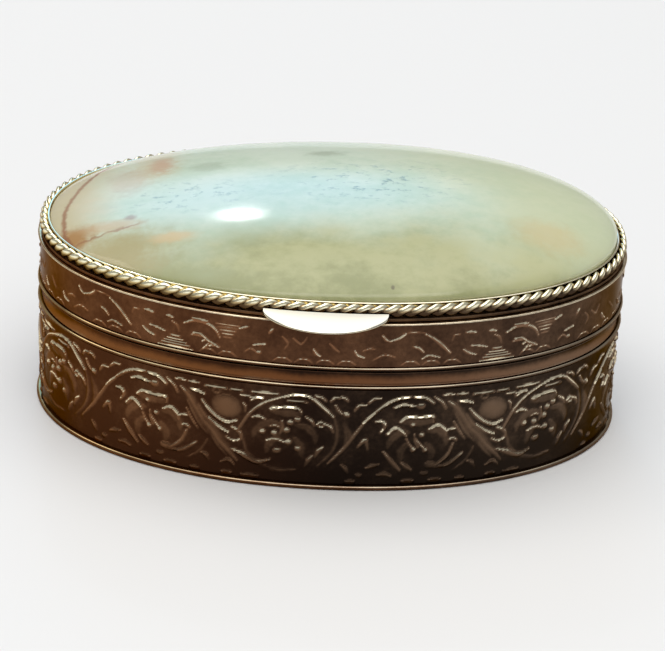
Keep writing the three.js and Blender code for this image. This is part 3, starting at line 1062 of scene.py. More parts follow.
@dataclass(frozen=True)
class Steel(Finish):
    """Turned steel wire with a little oil in its grain."""

    name: str = "pin_steel"
    colour: Colour = (0.42, 0.4, 0.36)
    dark: Colour = (0.14, 0.12, 0.1)
    spot_size: float = 1.2
    spot_reach: Point = (0.4, 0.7)
    roughness: float = 0.22
    grain_run: Triple = (4, 0.5, 0.5)
    grain_size: float = 0.3
    grain_rough: float = 0.2
    grain_height: float = 0.003

    def inputs(self, graph: Graph) -> dict[str, Any]:
        """Darkens the steel in spots, over a fine grain round the wire.

        Args:
            graph: The material's nodes.

        Returns:
            The shader's inputs.
        """
        place = graph.place()
        grain = graph.noise(place.stretched(*self.grain_run), self.grain_size)
        spots = graph.noise(place, self.spot_size)
        return {
            "Base Color": graph.mix(spots.step_between(*self.spot_reach), self.colour, self.dark),
            "Metallic": 1.0,
            "Roughness": (self.roughness + grain * self.grain_rough).held(),
            "Normal": graph.bump(grain, self.grain_height),
        }


@dataclass(frozen=True)
class Cement(Finish):
    """Pale cement with a chalky grain."""

    name: str = "bed_cement"
    colour: Colour = (0.52, 0.48, 0.4)
    stain: Colour = (0.34, 0.3, 0.23)
    stain_reach: Point = (0.35, 0.7)
    roughness: float = 0.8
    grain_size: float = 0.5
    grain_rough: float = 0.15
    grain_height: float = 0.03

    def inputs(self, graph: Graph) -> dict[str, Any]:
        """Stains the cement where its grain is low.

        Args:
            graph: The material's nodes.

        Returns:
            The shader's inputs.
        """
        grain = graph.noise(graph.place(), self.grain_size, detail=5)
        return {
            "Base Color": graph.mix(grain.step_between(*self.stain_reach), self.stain, self.colour),
            "Roughness": (self.roughness + grain * self.grain_rough).held(),
            "Normal": graph.bump(grain, self.grain_height),
        }


@dataclass(frozen=True)
class Velvet(Finish):
    """Short velvet pile whose nap lies in soft patches."""

    name: str = "velvet"
    pile: Colour = (0.16, 0.008, 0.018)
    shade: Colour = (0.055, 0.003, 0.008)
    sheen: Colour = (0.85, 0.22, 0.28)
    least_share: float = 0.3
    nap_run: Triple = (1, 0.6, 1)
    nap_size: float = 7
    nap_reach: Point = (0.3, 0.75)
    nap_share: float = 0.4
    pile_size: float = 0.16
    pile_share: float = 0.4
    roughness: float = 0.82
    pile_rough: float = 0.15
    pile_height: float = 0.12

    def inputs(self, graph: Graph) -> dict[str, Any]:
        """Lightens the velvet where its nap lies down.

        Args:
            graph: The material's nodes.

        Returns:
            The shader's inputs.
        """
        place = graph.place()
        nap = graph.noise(place.stretched(*self.nap_run), self.nap_size, detail=4, rough=0.6)
        pile = graph.noise(place, self.pile_size, detail=2, rough=0.7)
        lain = nap.step_between(*self.nap_reach) * self.nap_share
        share = (self.least_share + lain + pile * self.pile_share).held()
        return {
            "Base Color": graph.mix(share, self.shade, self.pile),
            "Roughness": (self.roughness + pile * self.pile_rough).held(),
            "Sheen Weight": 0.7,
            "Sheen Roughness": 0.35,
            "Sheen Tint": (*self.sheen, 1),
            "Specular IOR Level": 0.15,
            "Normal": graph.bump(pile, self.pile_height, strength=0.8),
        }


@dataclass(frozen=True)
class PaleFloor(Finish):
    """The plain pale floor that the box stands on."""

    name: str = "pale_floor"
    colour: Colour = (0.8, 0.795, 0.785)

    def inputs(self, graph: Graph) -> dict[str, Any]:
        """One colour all over, with hardly any gloss."""
        return {"Base Color": (*self.colour, 1), "Roughness": 0.75, "Specular IOR Level": 0.2}


@dataclass(frozen=True)
class Stain:
    """A soft-edged oval of another colour on the stone."""

    centre: Point
    radii: Point
    strength: float
    colour: Colour = (0, 0, 0)
    rim: Point = (0.3, 1.15)

    def share(self, x: Flow, y: Flow, ragged: Flow) -> Flow:
        """Works out where the stain shows.

        Args:
            x: The place across the stone.
            y: The place from front to back.
            ragged: How far the rim wanders at that place.

        Returns:
            How much of the stain shows.
        """
        across = (x - self.centre[0]) / self.radii[0]
        along = (y - self.centre[1]) / self.radii[1]
        away = (across * across + along * along).root() + ragged
        return (1 - away.step_between(*self.rim)) * self.strength


@dataclass(frozen=True)
class Onyx(Finish):
    """Polished green onyx with cloudy bands, rusty veins, bruises and fine pits.

    The bends say how far noise and place move the edge of a band or a stain.
    """

    name: str = "onyx"
    mint: Colour = (0.46, 0.57, 0.43)
    milk: Colour = (0.57, 0.65, 0.52)
    olive: Colour = (0.3, 0.31, 0.14)
    honey: Colour = (0.43, 0.43, 0.22)
    celery: Colour = (0.57, 0.58, 0.34)
    tan: Colour = (0.54, 0.43, 0.25)
    rust: Colour = (0.27, 0.11, 0.05)
    pit: Colour = (0.2, 0.29, 0.27)
    body_reach: Point = (0.3, 0.68)
    ripe_reach: Point = (0.35, 0.7)
    front_reach: Point = (6.5, 20.5)
    front_share: float = 0.95
    right_reach: Point = (6, 28)
    right_share: float = 0.6
    left_reach: Point = (26, 34)
    left_share: float = 0.75
    front_bends: Triple = (20, 9, 0.05)
    right_bends: Point = (20, 0.6)
    left_bends: Point = (9, 6)
    ragged_bends: Point = (0.8, 0.9)
    mottle_share: float = 0.35
    ripening: float = 0.006
    cloud_run: Triple = (0.6, 1, 1)
    drift_size: float = 14
    cloud_size: float = 7
    fine_size: float = 1.4
    wave_size: float = 2.2
    wave_height: float = 0.012
    vein_bow: float = 0.022
    vein_middle: float = -3.3
    vein_end: float = -34
    branch_slope: float = 0.32
    branch_drop: float = 1.2
    pit_size: float = 1.1
    pit_reach: Point = (0.53, 0.68)
    pit_depth: float = 0.85
    pit_rim: float = 0.2

    def inputs(self, graph: Graph) -> dict[str, Any]:
        """Clouds the stone and lays bands, stains, veins and pits over it.

        Args:
            graph: The material's nodes.

        Returns:
            The shader's inputs.
        """
        place = graph.place()
        x, y, _ = place.parts()
        drift = graph.noise(place, self.drift_size, rough=0.55)
        cloud = graph.noise(place.stretched(*self.cloud_run), self.cloud_size, detail=5, rough=0.62)
        fine = graph.noise(place, self.fine_size, detail=4, rough=0.65)
        drifted, clouded, roughened = drift - 0.5, cloud - 0.5, fine - 0.5
        mottle = cloud + roughened * self.mottle_share
        body = graph.mix(mottle.step_between(*self.body_reach), self.mint, self.milk)
        by_drift, by_cloud, by_x = self.front_bends
        front = 0 - y + drifted * by_drift + clouded * by_cloud + x * by_x
        ripe = (mottle + x * self.ripening).step_between(*self.ripe_reach)
        band = graph.mix(ripe, self.olive, self.honey)
        body = graph.mix(front.step_between(*self.front_reach) * self.front_share, body, band)
        by_cloud, by_y = self.right_bends
        right = x + clouded * by_cloud + y * by_y
        body = graph.mix(right.step_between(*self.right_reach) * self.right_share, body, self.celery)
        by_drift, by_cloud = self.left_bends
        left = 0 - x + drifted * by_drift + clouded * by_cloud
        body = graph.mix(left.step_between(*self.left_reach) * self.left_share, body, self.tan)
        by_fine, by_cloud = self.ragged_bends
        ragged = roughened * by_fine + clouded * by_cloud
        for stain in self._stains():
            body = graph.mix(stain.share(x, y, ragged), body, stain.colour)
        body = graph.mix(self._veins(x, y, drift, fine), body, self.rust)
        pits = self._pits(graph, place, x, y)
        relief = graph.noise(place, self.wave_size) + fine * 0.2 - pits * 1.5
        return {
            "Base Color": graph.mix(pits, body, self.pit),
            "Roughness": (0.06 + cloud * 0.04 + fine * 0.04).held(),
            "IOR": 1.48,
            "Subsurface Weight": 0.15,
            "Subsurface Radius": (0.9, 1.0, 0.7),
            "Subsurface Scale": 2 * MM,
            "Normal": graph.bump(relief, self.wave_height, strength=0.5),
        }

    def _stains(self) -> tuple[Stain, ...]:
        """The stains, back ones first."""
        smoke: Colour = (0.31, 0.36, 0.26)
        return (
            Stain((-23.5, 11), (4.2, 9), 0.6, self.tan),
            Stain((-22.6, 9), (2, 4.2), 0.75, (0.5, 0.32, 0.2)),
            Stain((-26.8, 4), (3.6, 6), 0.5, (0.53, 0.41, 0.31)),
            Stain((-16.5, 6.6), (2.6, 2), 0.4, smoke),
            Stain((-1.6, 10.4), (3.6, 1.5), 0.65, smoke),
            Stain((-27, -15), (9, 6), 0.75, (0.41, 0.34, 0.165)),
            Stain((-32.4, -10.2), (3.6, 3), 0.9, (0.37, 0.19, 0.06)),
            Stain((-27.5, -8.8), (4.6, 1.7), 0.65, (0.52, 0.38, 0.22)),
            Stain((-25.4, -7.2), (0.9, 0.8), 0.6, (0.32, 0.2, 0.16)),
            Stain((-19.9, -12.9), (3.5, 1.6), 0.8, (0.6, 0.47, 0.27)),
            Stain((26.5, -9.5), (5.5, 4), 0.5, (0.6, 0.48, 0.25)),
            Stain((7.1, -22.1), (0.26, 0.3), 0.8, (0.14, 0.12, 0.07)),
        )

    def _veins(self, x: Flow, y: Flow, drift: Flow, fine: Flow) -> Flow:
        """Draws a rusty line round the stone's left end, and a fainter one that leaves it.

        Args:
            x: The place across the stone.
            y: The place from front to back.
            drift: Large soft noise that bends the line.
            fine: Small noise that roughens it.

        Returns:
            How rusty each place is.
        """
        along = y - self.vein_middle
        off_line = x - (along * along * self.vein_bow + self.vein_end)
        line = 1 - abs(off_line + (fine - 0.5) * 1.1 + (drift - 0.5) * 3).step_between(0.05, 0.5)
        off_branch = y - x * self.branch_slope + self.branch_drop
        branch = 1 - abs(off_branch + (fine - 0.5) * 2.2).step_between(0.06, 0.45)
        reach = (0 - x).step_between(22.5, 26) * (x - self.vein_end - 1).step_between(0, 2)
        return line * (0.4 + drift * 0.75).held() + branch * reach * fine.step_between(0.3, 0.55) * 0.6

    def _pits(self, graph: Graph, place: Flow, x: Flow, y: Flow) -> Flow:
        """Gathers small pits and scratches on the crown and near the left end.

        Args:
            graph: The material's nodes.
            place: The place on the stone.
            x: Its part across the stone.
            y: Its part from front to back.

        Returns:
            How deep each place is pitted, from 0 to 1.
        """
        dots = graph.noise(place.stretched(*self.cloud_run), self.pit_size, detail=4, rough=0.72)
        ragged = dots * self.pit_rim
        crown = Stain((4.5, 0.5), (17, 10), 1).share(x, y, ragged)
        flank = Stain((-19, -2.5), (12, 6.5), 0.8).share(x, y, ragged)
        return dots.step_between(*self.pit_reach) * (crown + flank).held() * self.pit_depth


BROWN, BRONZE, GOLD = (0.013, 0.008, 0.006), (0.11, 0.066, 0.04), (0.92, 0.82, 0.6)
UMBER, COPPER = (0.14, 0.055, 0.022), (0.4, 0.34, 0.25)
WALNUT, RUSSET = (0.04, 0.018, 0.01), (0.205, 0.096, 0.048)
FAWN, OCHRE, PALE_GOLD = (0.2, 0.13, 0.06), (0.62, 0.47, 0.24), (0.97, 0.91, 0.74)
PEAT, BRASS, STRAW = (0.07, 0.04, 0.022), (0.42, 0.3, 0.16), (1, 0.94, 0.68)
COFFEE, CARAMEL = (0.05, 0.03, 0.016), (0.33, 0.22, 0.115)
SIENNA, SILVER = (0.27, 0.16, 0.09), (0.56, 0.535, 0.46)
# Painted reflection tints for the left and right ends of some finishes.
DULL = {"warm_reflection_metal": (0.22, 0.082, 0.022), "warm_reflection_rubbed_and_highlight": (0.6, 0.44, 0.2)}
BARE = {
    "warm_reflection": (0.12, 0.07, 0.02),
    "warm_reflection_metal": (0.66, 0.5, 0.2),
    "warm_reflection_rubbed_and_highlight": (1, 0.96, 0.68),
    "cool_reflection_metal": (0.33, 0.27, 0.17),
}


@dataclass(frozen=True)
class Finishes:
    """Every finish of the box."""

    carved: Finish = Gilt("embossed_gilt", BROWN, BRONZE, GOLD, 0.22, scratches=0.01)
    engraved: Finish = Gilt("engraved_gilt", WALNUT, RUSSET, GOLD, 0.24)
    plain: Finish = Gilt("plain_gilt", BROWN, UMBER, COPPER, 0.2, **DULL)
    beaded: Finish = Gilt("beaded_gilt", BROWN, UMBER, COPPER, 0.16, **DULL)
    bright: Finish = Gilt("bright_gilt", FAWN, OCHRE, PALE_GOLD, 0.14, **BARE)
    border: Finish = Gilt("border_gilt", PEAT, BRASS, STRAW, 0.2, **BARE)
    lift: Finish = Gilt("lift_gilt", FAWN, OCHRE, SILVER, 0.14, **BARE)
    hinge: Finish = Gilt("hinge_gilt", COFFEE, CARAMEL, GOLD, 0.28)
    groove: Finish = Gilt("dark_gilt", BROWN, SIENNA, COPPER, 0.5)
    steel: Finish = Steel()
    cement: Finish = Cement()
    velvet: Finish = Velvet()
    onyx: Finish = Onyx()


@dataclass
class Bench:
    """Dresses each finished piece, puts it in its body and hides the CAD node it stands for."""

    made: dict[Finish, bpy.types.Material] = field(default_factory=dict)

    def place(self, piece: Piece, finish: Finish, body: Body, slot: Slot, node: str) -> None:
        """Gives a piece its material and body, and hides the CAD node it stands for.

        Args:
            piece: The finished object.
            finish: Its finish. Pieces with the same one share its material.
            body: The body it moves with.
            slot: The record's slot for the piece. Not used.
            node: The CAD node that it stands for.
        """
        if finish not in self.made:
            self.made[finish] = finish.material()
        piece.data.materials.clear()
        piece.data.materials.append(self.made[finish])
        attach(piece, body.value)
        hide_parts(node)
        log.info("%s: %d points", piece.name, len(piece.data.vertices))


# The box


@dataclass
class Foot:
    """The base plate, whose rounded edge is the bright flange round the foot."""

    maker: RingMaker
    bench: Bench
    edge_steps: int = 10
    ring_width: float = 1.6
    hollow: float = 0.15
    cove: float = 1
    haunch_reach: float = 0.4
    haunch_share: float = 0.8
    under_polish: tuple[float, ...] = (0.4, 0.35, 0.5)
    edge_polish: float = 0.28
    edge_highlight: float = 0.55
    highlight_angles: Point = (0.1, 0.8)

    def build(self) -> None:
        """Makes the plate with a half-round edge and a shallow hollow underneath."""
        extent, edge = self.maker.fitted("base_plate")
        middle, half = extent.middle[2], (extent.top - extent.bottom) / 2
        angles = np.linspace(-math.pi / 2, math.pi / 2, self.edge_steps + 1)
        rim = np.stack([edge - half + half * np.cos(angles), middle + half * np.sin(angles)], axis=1)
        inner = edge - self.ring_width
        ceiling = extent.bottom + self.hollow
        haunch = extent.bottom + self.hollow * self.haunch_share
        under = [(inner - self.cove, ceiling), (inner - self.cove * self.haunch_reach, haunch)]
        under += [(inner, extent.bottom)]
        section = np.vstack([under, rim])
        # A painted highlight: the flange's edge is made brighter towards its top.
        worn_and_lit = self.edge_polish + self.edge_highlight * smooth_step(angles, *self.highlight_angles)
        polish_and_shading = np.concatenate([self.under_polish, worn_and_lit])
        skin = self.maker.disc(section, ceiling, extent.top)
        skin.polish_and_shading = polish_and_shading[:, None]
        plate = skin.build("foot_plate")
        self.bench.place(plate, Finishes.plain, Body.BOX, Slot.PLAIN, "base_plate")


@dataclass
class CarvedWall:
    """A wall of embossed sheet, with a plain inner face."""

    maker: RingMaker
    extent: Extent
    ground: float
    sheet: float
    columns: int
    rows: int
    highlight_slope_reach: Point = (0.175, 0.7)
    softness: float = 0.075
    ground_polish: float = 0.1
    crest_wear_and_highlight: float = 1.5
    flank_highlight: float = 0.7
    shaded: float = 0.55
    least_polish: float = 0.04
    back_polish: float = 0.4
    lip_polish: float = 0.8
    foot_fade: float = 0.35
    top_fade: float = 0.3
    shade_reach: Point = (1, 6)

    def skin(self, carving: Carving, lip: Array | None = None) -> Skin:
        """Presses the carving into the wall.

        Args:
            carving: The strip that repeats round the wall.
            lip: Points of outset and height that finish the wall's top, from the outside in.

        Returns:
            The wall as a closed band.
        """
        outline = self.maker.outline
        arcs = np.arange(self.columns) / self.columns * outline.length
        top = self.extent.top if lip is None else lip[0, 1]
        heights = np.linspace(self.extent.bottom, top, self.rows)
        shape = carving.blurred(carving.relief, self.softness)
        relief = carving.sampled(shape, arcs, heights)
        slope = carving.sampled(-np.gradient(shape, carving.pitch, axis=0), arcs, heights)
        fade = smooth_step(heights, heights[0], heights[0] + self.foot_fade)
        fade = fade * (1 - smooth_step(heights, heights[-1] - self.top_fade, heights[-1]))
        relief = relief * fade[:, None]
        # Painted highlight along flanks that turn up, and painted shade that darkens the wall towards its
        # foot; raised crests are brightened for wear and painted highlight both.
        upper = smooth_step(slope, *self.highlight_slope_reach)
        lit = 1 - self.shaded * (1 - smooth_step(heights - heights[0], *self.shade_reach)[:, None])
        polish_and_shading = self.ground_polish + self.crest_wear_and_highlight * relief + self.flank_highlight * upper
        polish_and_shading = np.clip(self.least_polish + polish_and_shading * lit, 0, 1)
        turns = outline.turns_at(arcs)
        flat = outline.at(turns[None, :], self.ground + relief)
        levels = np.broadcast_to(heights[:, None, None], (*relief.shape, 1))
        outer = np.concatenate([flat, levels], axis=-1)
        inner = self.ground - self.sheet
        back = [(inner, self.extent.top), (inner, self.extent.bottom)]
        rest = np.array(back if lip is None else [*lip[1:].tolist(), *back])
        closing = self.maker.points(rest, self.columns)
        rest_polish = np.full((len(rest), self.columns), self.back_polish)
        if lip is not None:
            rest_polish[: len(lip) - 1] = self.lip_polish
        points = np.concatenate([outer, closing])
        return Skin(points, loop_rows=True, polish_and_shading=np.concatenate([polish_and_shading, rest_polish]))


@dataclass
class BoxWall:
    """The box's wall: the embossed strip, the plain band, the bead and the collar inside."""

    maker: RingMaker
    bench: Bench
    ground: float = -0.2
    sheet: float = 0.62
    columns: int = 1140
    rows: int = 84
    bead_steps: int = 12
    band_steps: int = 12
    band_sheet: float = 0.65
    band_hollow: float = 0.14
    band_power: float = 0.8
    band_edge: float = 0.06
    band_shade_ramp: Point = (0.64, 0.1)
    plain_polish: float = 0.4
    edge_polish: float = 0.8
    collar_sheet: float = 0.45
    collar_round: float = 0.16
    collar_edge: float = 0.1
    collar_polish: float = 0.6
    collar_edge_polish: float = 0.9

    def build(self) -> None:
        """Makes the four pieces."""
        self._wall()
        self._rim_band()
        self._bead()
        self._collar()

    def _wall(self) -> None:
        """The embossed strip."""
        extent = Extent.of("body_wall")
        carving = BoxCarving.along(self.maker.outline.length, extent)
        wall = CarvedWall(self.maker, extent, self.ground, self.sheet, self.columns, self.rows)
        piece = wall.skin(carving).build("embossed_wall")
        self.bench.place(piece, Finishes.carved, Body.BOX, Slot.EMBOSSED, "body_wall")

    def _rim_band(self) -> None:
        """The plain band, a little hollow between the beads."""
        extent, face = self.maker.fitted("body_rim_band")
        start = Extent.of("body_bead").top
        back = face - self.band_sheet
        heights = np.linspace(start, extent.top - self.band_edge, self.band_steps)
        share = (heights - start) / (extent.top - start)
        hollow = face - self.band_hollow * np.sin(np.pi * share) ** self.band_power
        section = [(back, extent.bottom), (face, extent.bottom), *zip(hollow, heights)]
        section += [(face - self.band_edge, extent.top), (back, extent.top)]
        # Painted shade: the band grows darker from its foot towards its top.
        polish_and_shading = [self.plain_polish] * 2 + np.linspace(*self.band_shade_ramp, self.band_steps).tolist()
        polish_and_shading += [self.edge_polish, self.plain_polish]
        piece = self.maker.band(np.array(section), polish_and_shading).build("rim_band")
        self.bench.place(piece, Finishes.plain, Body.BOX, Slot.PLAIN, "body_rim_band")

    def _bead(self) -> None:
        """The half-round bead under the plain band."""
        face = self.maker.reach("body_rim_band")
        section, polish_and_shading = bead_section(self.maker, "body_bead", face, self.bead_steps)
        piece = self.maker.band(section, polish_and_shading).build("box_bead")
        self.bench.place(piece, Finishes.beaded, Body.BOX, Slot.BRIGHT, "body_bead")

    def _collar(self) -> None:
        """The strip inside the rim, with a rolled upper edge."""
        extent, outer = self.maker.fitted("inner_collar")
        section = rounded(strip_corners(outer - self.collar_sheet, outer, extent), self.collar_round)
        edge = section[:, 1] > extent.top - self.collar_edge
        polish_and_shading = np.where(edge, self.collar_edge_polish, self.collar_polish)
        piece = self.maker.band(section, polish_and_shading).build("collar")
        self.bench.place(piece, Finishes.bright, Body.BOX, Slot.PLAIN, "inner_collar")


def strip_corners(inner: float, outer: float, extent: Extent) -> list[Point]:
    """The corners of an upright strip, from the inner foot round by the outside."""
    low, high = extent.bottom, extent.top
    return [(inner, low), (outer, low), (outer, high), (inner, high)]


def bead_section(maker: RingMaker, node: str, face: float, steps: int) -> tuple[Array, Array]:
    """The section of a half-round bead on a face.

    Args:
        maker: What sweeps the bead round the oval.
        node: The bead's CAD node.
        face: The outset of the face that it stands on.
        steps: The number of pieces of its arc.

    Returns:
        The section's points and how polished each is, with a painted highlight along the side that turns up.
    """
    extent, crest = maker.fitted(node)
    half = (extent.top - extent.bottom) / 2
    angles = np.linspace(-math.pi / 2, math.pi / 2, steps + 1)
    outsets = face + (crest - face) * np.cos(angles)
    heights = extent.bottom + half + half * np.sin(angles)
    # A painted highlight along the side of the bead that turns up.
    facing = np.cos(angles - BEAD_HIGHLIGHT_ANGLE)
    polish_and_shading = BEAD_BASE_AND_HIGHLIGHT[0] + (BEAD_BASE_AND_HIGHLIGHT[1] - BEAD_BASE_AND_HIGHLIGHT[0]) * smooth_step(facing, *BEAD_HIGHLIGHT_REACH)
    return np.stack([outsets, heights], axis=1), polish_and_shading


# The lid


@dataclass
class LidWall:
    """The engraved wall of the lid, its top ridge and its bead."""

    maker: RingMaker
    bench: Bench
    ground: float = -0.2
    sheet: float = 0.55
    columns: int = 1360
    rows: int = 56
    ridge: float = 0.16
    ridge_steps: int = 8
    bead_steps: int = 12

    def build(self) -> None:
        """Makes the two pieces."""
        extent = Extent.of("lid_wall")
        carving = LidCarving.along(self.maker.outline.length, extent)
        wall = CarvedWall(self.maker, extent, self.ground, self.sheet, self.columns, self.rows)
        wall = replace(wall, softness=0.05, ground_polish=0.16, crest_wear_and_highlight=2, flank_highlight=0.8, shaded=0)
        middle = extent.top - self.ridge
        angles = np.linspace(-math.pi / 2, math.pi / 2, self.ridge_steps + 1)
        crest = self.maker.reach("lid_wall")
        outsets = self.ground + (crest - self.ground) * np.cos(angles)
        lip = np.stack([outsets, middle + self.ridge * np.sin(angles)], axis=1)
        piece = wall.skin(carving, lip).build("engraved_wall")
        self.bench.place(piece, Finishes.engraved, Body.LID, Slot.EMBOSSED, "lid_wall")
        section, polish_and_shading = bead_section(self.maker, "lid_bead", self.ground, self.bead_steps)
        piece = self.maker.band(section, polish_and_shading).build("lid_wall_bead")
        self.bench.place(piece, Finishes.beaded, Body.LID, Slot.BRIGHT, "lid_bead")


@dataclass
class StoneSetting:
    """The plate, the step, the twisted border, the bezel and the cement that hold the stone."""

    maker: RingMaker
    bench: Bench
    lay: float = 3.4
    border_sides: int = 32
    stations_per_turn: int = 22
    wire_share: float = 0.64
    waist_polish: float = 0.35
    crown_reach: Point = (0.55, 0.75)
    underside_shade: float = 0.12
    top_highlight_reach: Point = (-0.15, 0.4)
    plate_edge: float = 0.1
    plate_polish: float = 0.45
    step_gap: float = 0.1
    step_edge: float = 0.1
    step_polish: float = 0.3
    ledge_gap: float = 0.06
    bezel_sheet: float = 0.15
    bezel_lip: float = 0.1
    bezel_lip_drop: float = 0.08
    bezel_inner_drop: float = 0.02
    bezel_neck: float = 0.3
    bezel_near_foot: float = 0.3
    bezel_inner_foot: float = 0.4
    bezel_round: float = 0.06
    bezel_rubbed: float = 0.35
    bezel_polish: Point = (0.6, 0.85)
    stone_gap: float = 0.03
    bed_gap: float = 0.05

    def build(self) -> None:
        """Makes the five pieces."""
        self._plate()
        self._step()
        self._border()
        self._bezel()
        self._bed()

    def _plate(self) -> None:
        """The plate across the lid."""
        extent, edge = self.maker.fitted("lid_plate")
        cut = self.plate_edge
        section = [(edge - cut, extent.bottom), (edge, extent.bottom + cut)]
        section += [(edge, extent.top - cut), (edge - cut, extent.top)]
        plate = self.maker.disc(np.array(section), extent.bottom, extent.top, self.plate_polish)
        piece = plate.build("top_plate")
        self.bench.place(piece, Finishes.plain, Body.LID, Slot.PLAIN, "lid_plate")

    def _step(self) -> None:
        """The ring that lifts the border, with a ledge over the top of the wall."""
        extent, outer = self.maker.fitted("border_step")
        foot = self.maker.reach("lid_plate")
        inner = self.maker.reach("bezel_strip") + self.step_gap
        ledge, cut = Extent.of("lid_wall").top + self.ledge_gap, self.step_edge
        section = [(inner, extent.bottom), (foot, extent.bottom), (foot, ledge), (outer - cut, ledge)]
        section += [(outer, ledge + cut), (outer, extent.top), (inner, extent.top)]
        piece = self.maker.band(np.array(section), self.step_polish).build("groove_ring")
        self.bench.place(piece, Finishes.groove, Body.LID, Slot.PLAIN, "border_step")

    def _border(self) -> None:
        """Two wires twisted together and rolled flatter, as one skin."""
        extent, outer = self.maker.fitted("wire_border")
        outline = self.maker.outline
        tall = (extent.top - extent.bottom) / 2
        wide = (outer - self.maker.reach("bezel_strip")) / 2
        pairs = round(outline.length / self.lay)
        stations = pairs * self.stations_per_turn
        centre = outline.at(outline.even_turns(stations), outer - wide)
        tangent = np.roll(centre, -1, 0) - np.roll(centre, 1, 0)
        tangent = tangent / np.linalg.norm(tangent, axis=1)[:, None]
        outward = np.stack([tangent[:, 1], -tangent[:, 0]], axis=1)
        around = np.arange(self.border_sides) / self.border_sides * FULL_TURN
        wire, throw = self.wire_share, 1 - self.wire_share
        reach = throw * np.abs(np.cos(around)) + np.sqrt(wire**2 - (throw * np.sin(around)) ** 2)
        angle = around[:, None] - FULL_TURN * pairs * np.arange(stations)[None, :] / stations
        out, up = reach[:, None] * np.cos(angle), -reach[:, None] * np.sin(angle)
        flat = centre[None] + outward[None] * out[..., None] * wide
        points = np.concatenate([flat, extent.middle[2] + tall * up[..., None]], axis=-1)[::-1]
        # Painted highlight and painted shade: each wire is made bright on its top and dark on its underside.
        waist, low = self.waist_polish, self.underside_shade
        crown = waist + (1 - waist) * smooth_step(reach, *self.crown_reach)[:, None]
        polish_and_shading = crown * (low + (1 - low) * smooth_step(up, *self.top_highlight_reach))
        piece = Skin(points, loop_rows=True, polish_and_shading=polish_and_shading[::-1]).build("twisted_border", sharp_angle=80)
        self.bench.place(piece, Finishes.border, Body.LID, Slot.BRIGHT, "wire_border")

    def _bezel(self) -> None:
        """The thin strip whose edge is rubbed down over the stone and out over the border."""
        extent, outer = self.maker.fitted("bezel_strip")
        inner = outer - self.bezel_sheet
        neck = extent.top - self.bezel_neck
        near = self.maker.reach("stone") + self.stone_gap
        corners = [(inner, extent.bottom), (outer, extent.bottom), (outer, neck)]
        corners += [(outer + self.bezel_lip, extent.top - self.bezel_lip_drop), (outer, extent.top)]
        corners += [(near, extent.top - self.bezel_inner_drop), (near, neck - self.bezel_near_foot)]
        corners += [(inner, neck - self.bezel_inner_foot)]
        section = rounded(corners, self.bezel_round)
        dull, rubbed_and_highlight = self.bezel_polish
        polish_and_shading = np.where(section[:, 1] > neck - self.bezel_rubbed, rubbed_and_highlight, dull)
        piece = self.maker.band(section, polish_and_shading).build("stone_bezel")
        self.bench.place(piece, Finishes.bright, Body.LID, Slot.BRIGHT, "bezel_strip")

    def _bed(self) -> None:
        """The cement under the stone."""
        extent, edge = self.maker.fitted("stone_bed")
        top = extent.top - self.bed_gap
        section = np.array([(edge, extent.bottom), (edge, top)])
        piece = self.maker.disc(section, extent.bottom, top).build("bed_cement")
        self.bench.place(piece, Finishes.cement, Body.LID, Slot.CEMENT, "stone_bed")


def joined(name: str, pieces: Sequence[Piece]) -> Piece:
    """Joins some objects into one.

    Args:
        name: The name of the joined object.
        pieces: The objects. The first takes the others in.

    Returns:
        The joined object.
    """
    target = pieces[0]
    with bpy.context.temp_override(active_object=target, selected_editable_objects=list(pieces)):
        bpy.ops.object.join()
    target.name = target.data.name = name
    return target


@dataclass
class Stone:
    """The domed stone, a little thicker at its right end."""

    maker: RingMaker
    bench: Bench
    side_height: float = 2.7
    edge_lean: float = 0.43
    dome_lean: float = 1.5
    power: float = 2
    shoulder: float = 0.63
    columns: int = 256
    rings: int = 60
    foot_share: float = 0.997
    foot_edge: float = 0.1

    def build(self) -> None:
        """Makes the stone with an upright side and a cabochon's crown."""
        extent, edge = self.maker.fitted("stone")
        outline = self.maker.outline
        side = extent.bottom + self.side_height
        turns = outline.even_turns(self.columns)
        rim = outline.at(turns, edge)
        shares = np.cos(np.linspace(0, math.pi / 2, self.rings + 1)[:-1])
        swells = (1 - shares**self.power) ** self.shoulder
        slopes = (self.edge_lean + self.dome_lean * swells) * shares
        crown = float(np.min((extent.top - side - slopes[1:]) / swells[1:]))
        rows = [np.column_stack([rim * self.foot_share, np.full(self.columns, extent.bottom)])]
        rows += [np.column_stack([rim, np.full(self.columns, extent.bottom + self.foot_edge)])]
        for share, swell, slope in zip(shares, swells, slopes):
            height = side + crown * swell + slope * rim[:, 0] / (outline.half_length + edge)
            rows.append(np.column_stack([rim * share, height]))
        foot = np.array([0, 0, extent.bottom])
        peak = np.array([0, 0, side + crown])
        piece = Skin(np.array(rows), first_tip=foot, last_tip=peak).build("onyx_dome", sharp_angle=80)
        self.bench.place(piece, Finishes.onyx, Body.LID, Slot.ONYX, "stone")


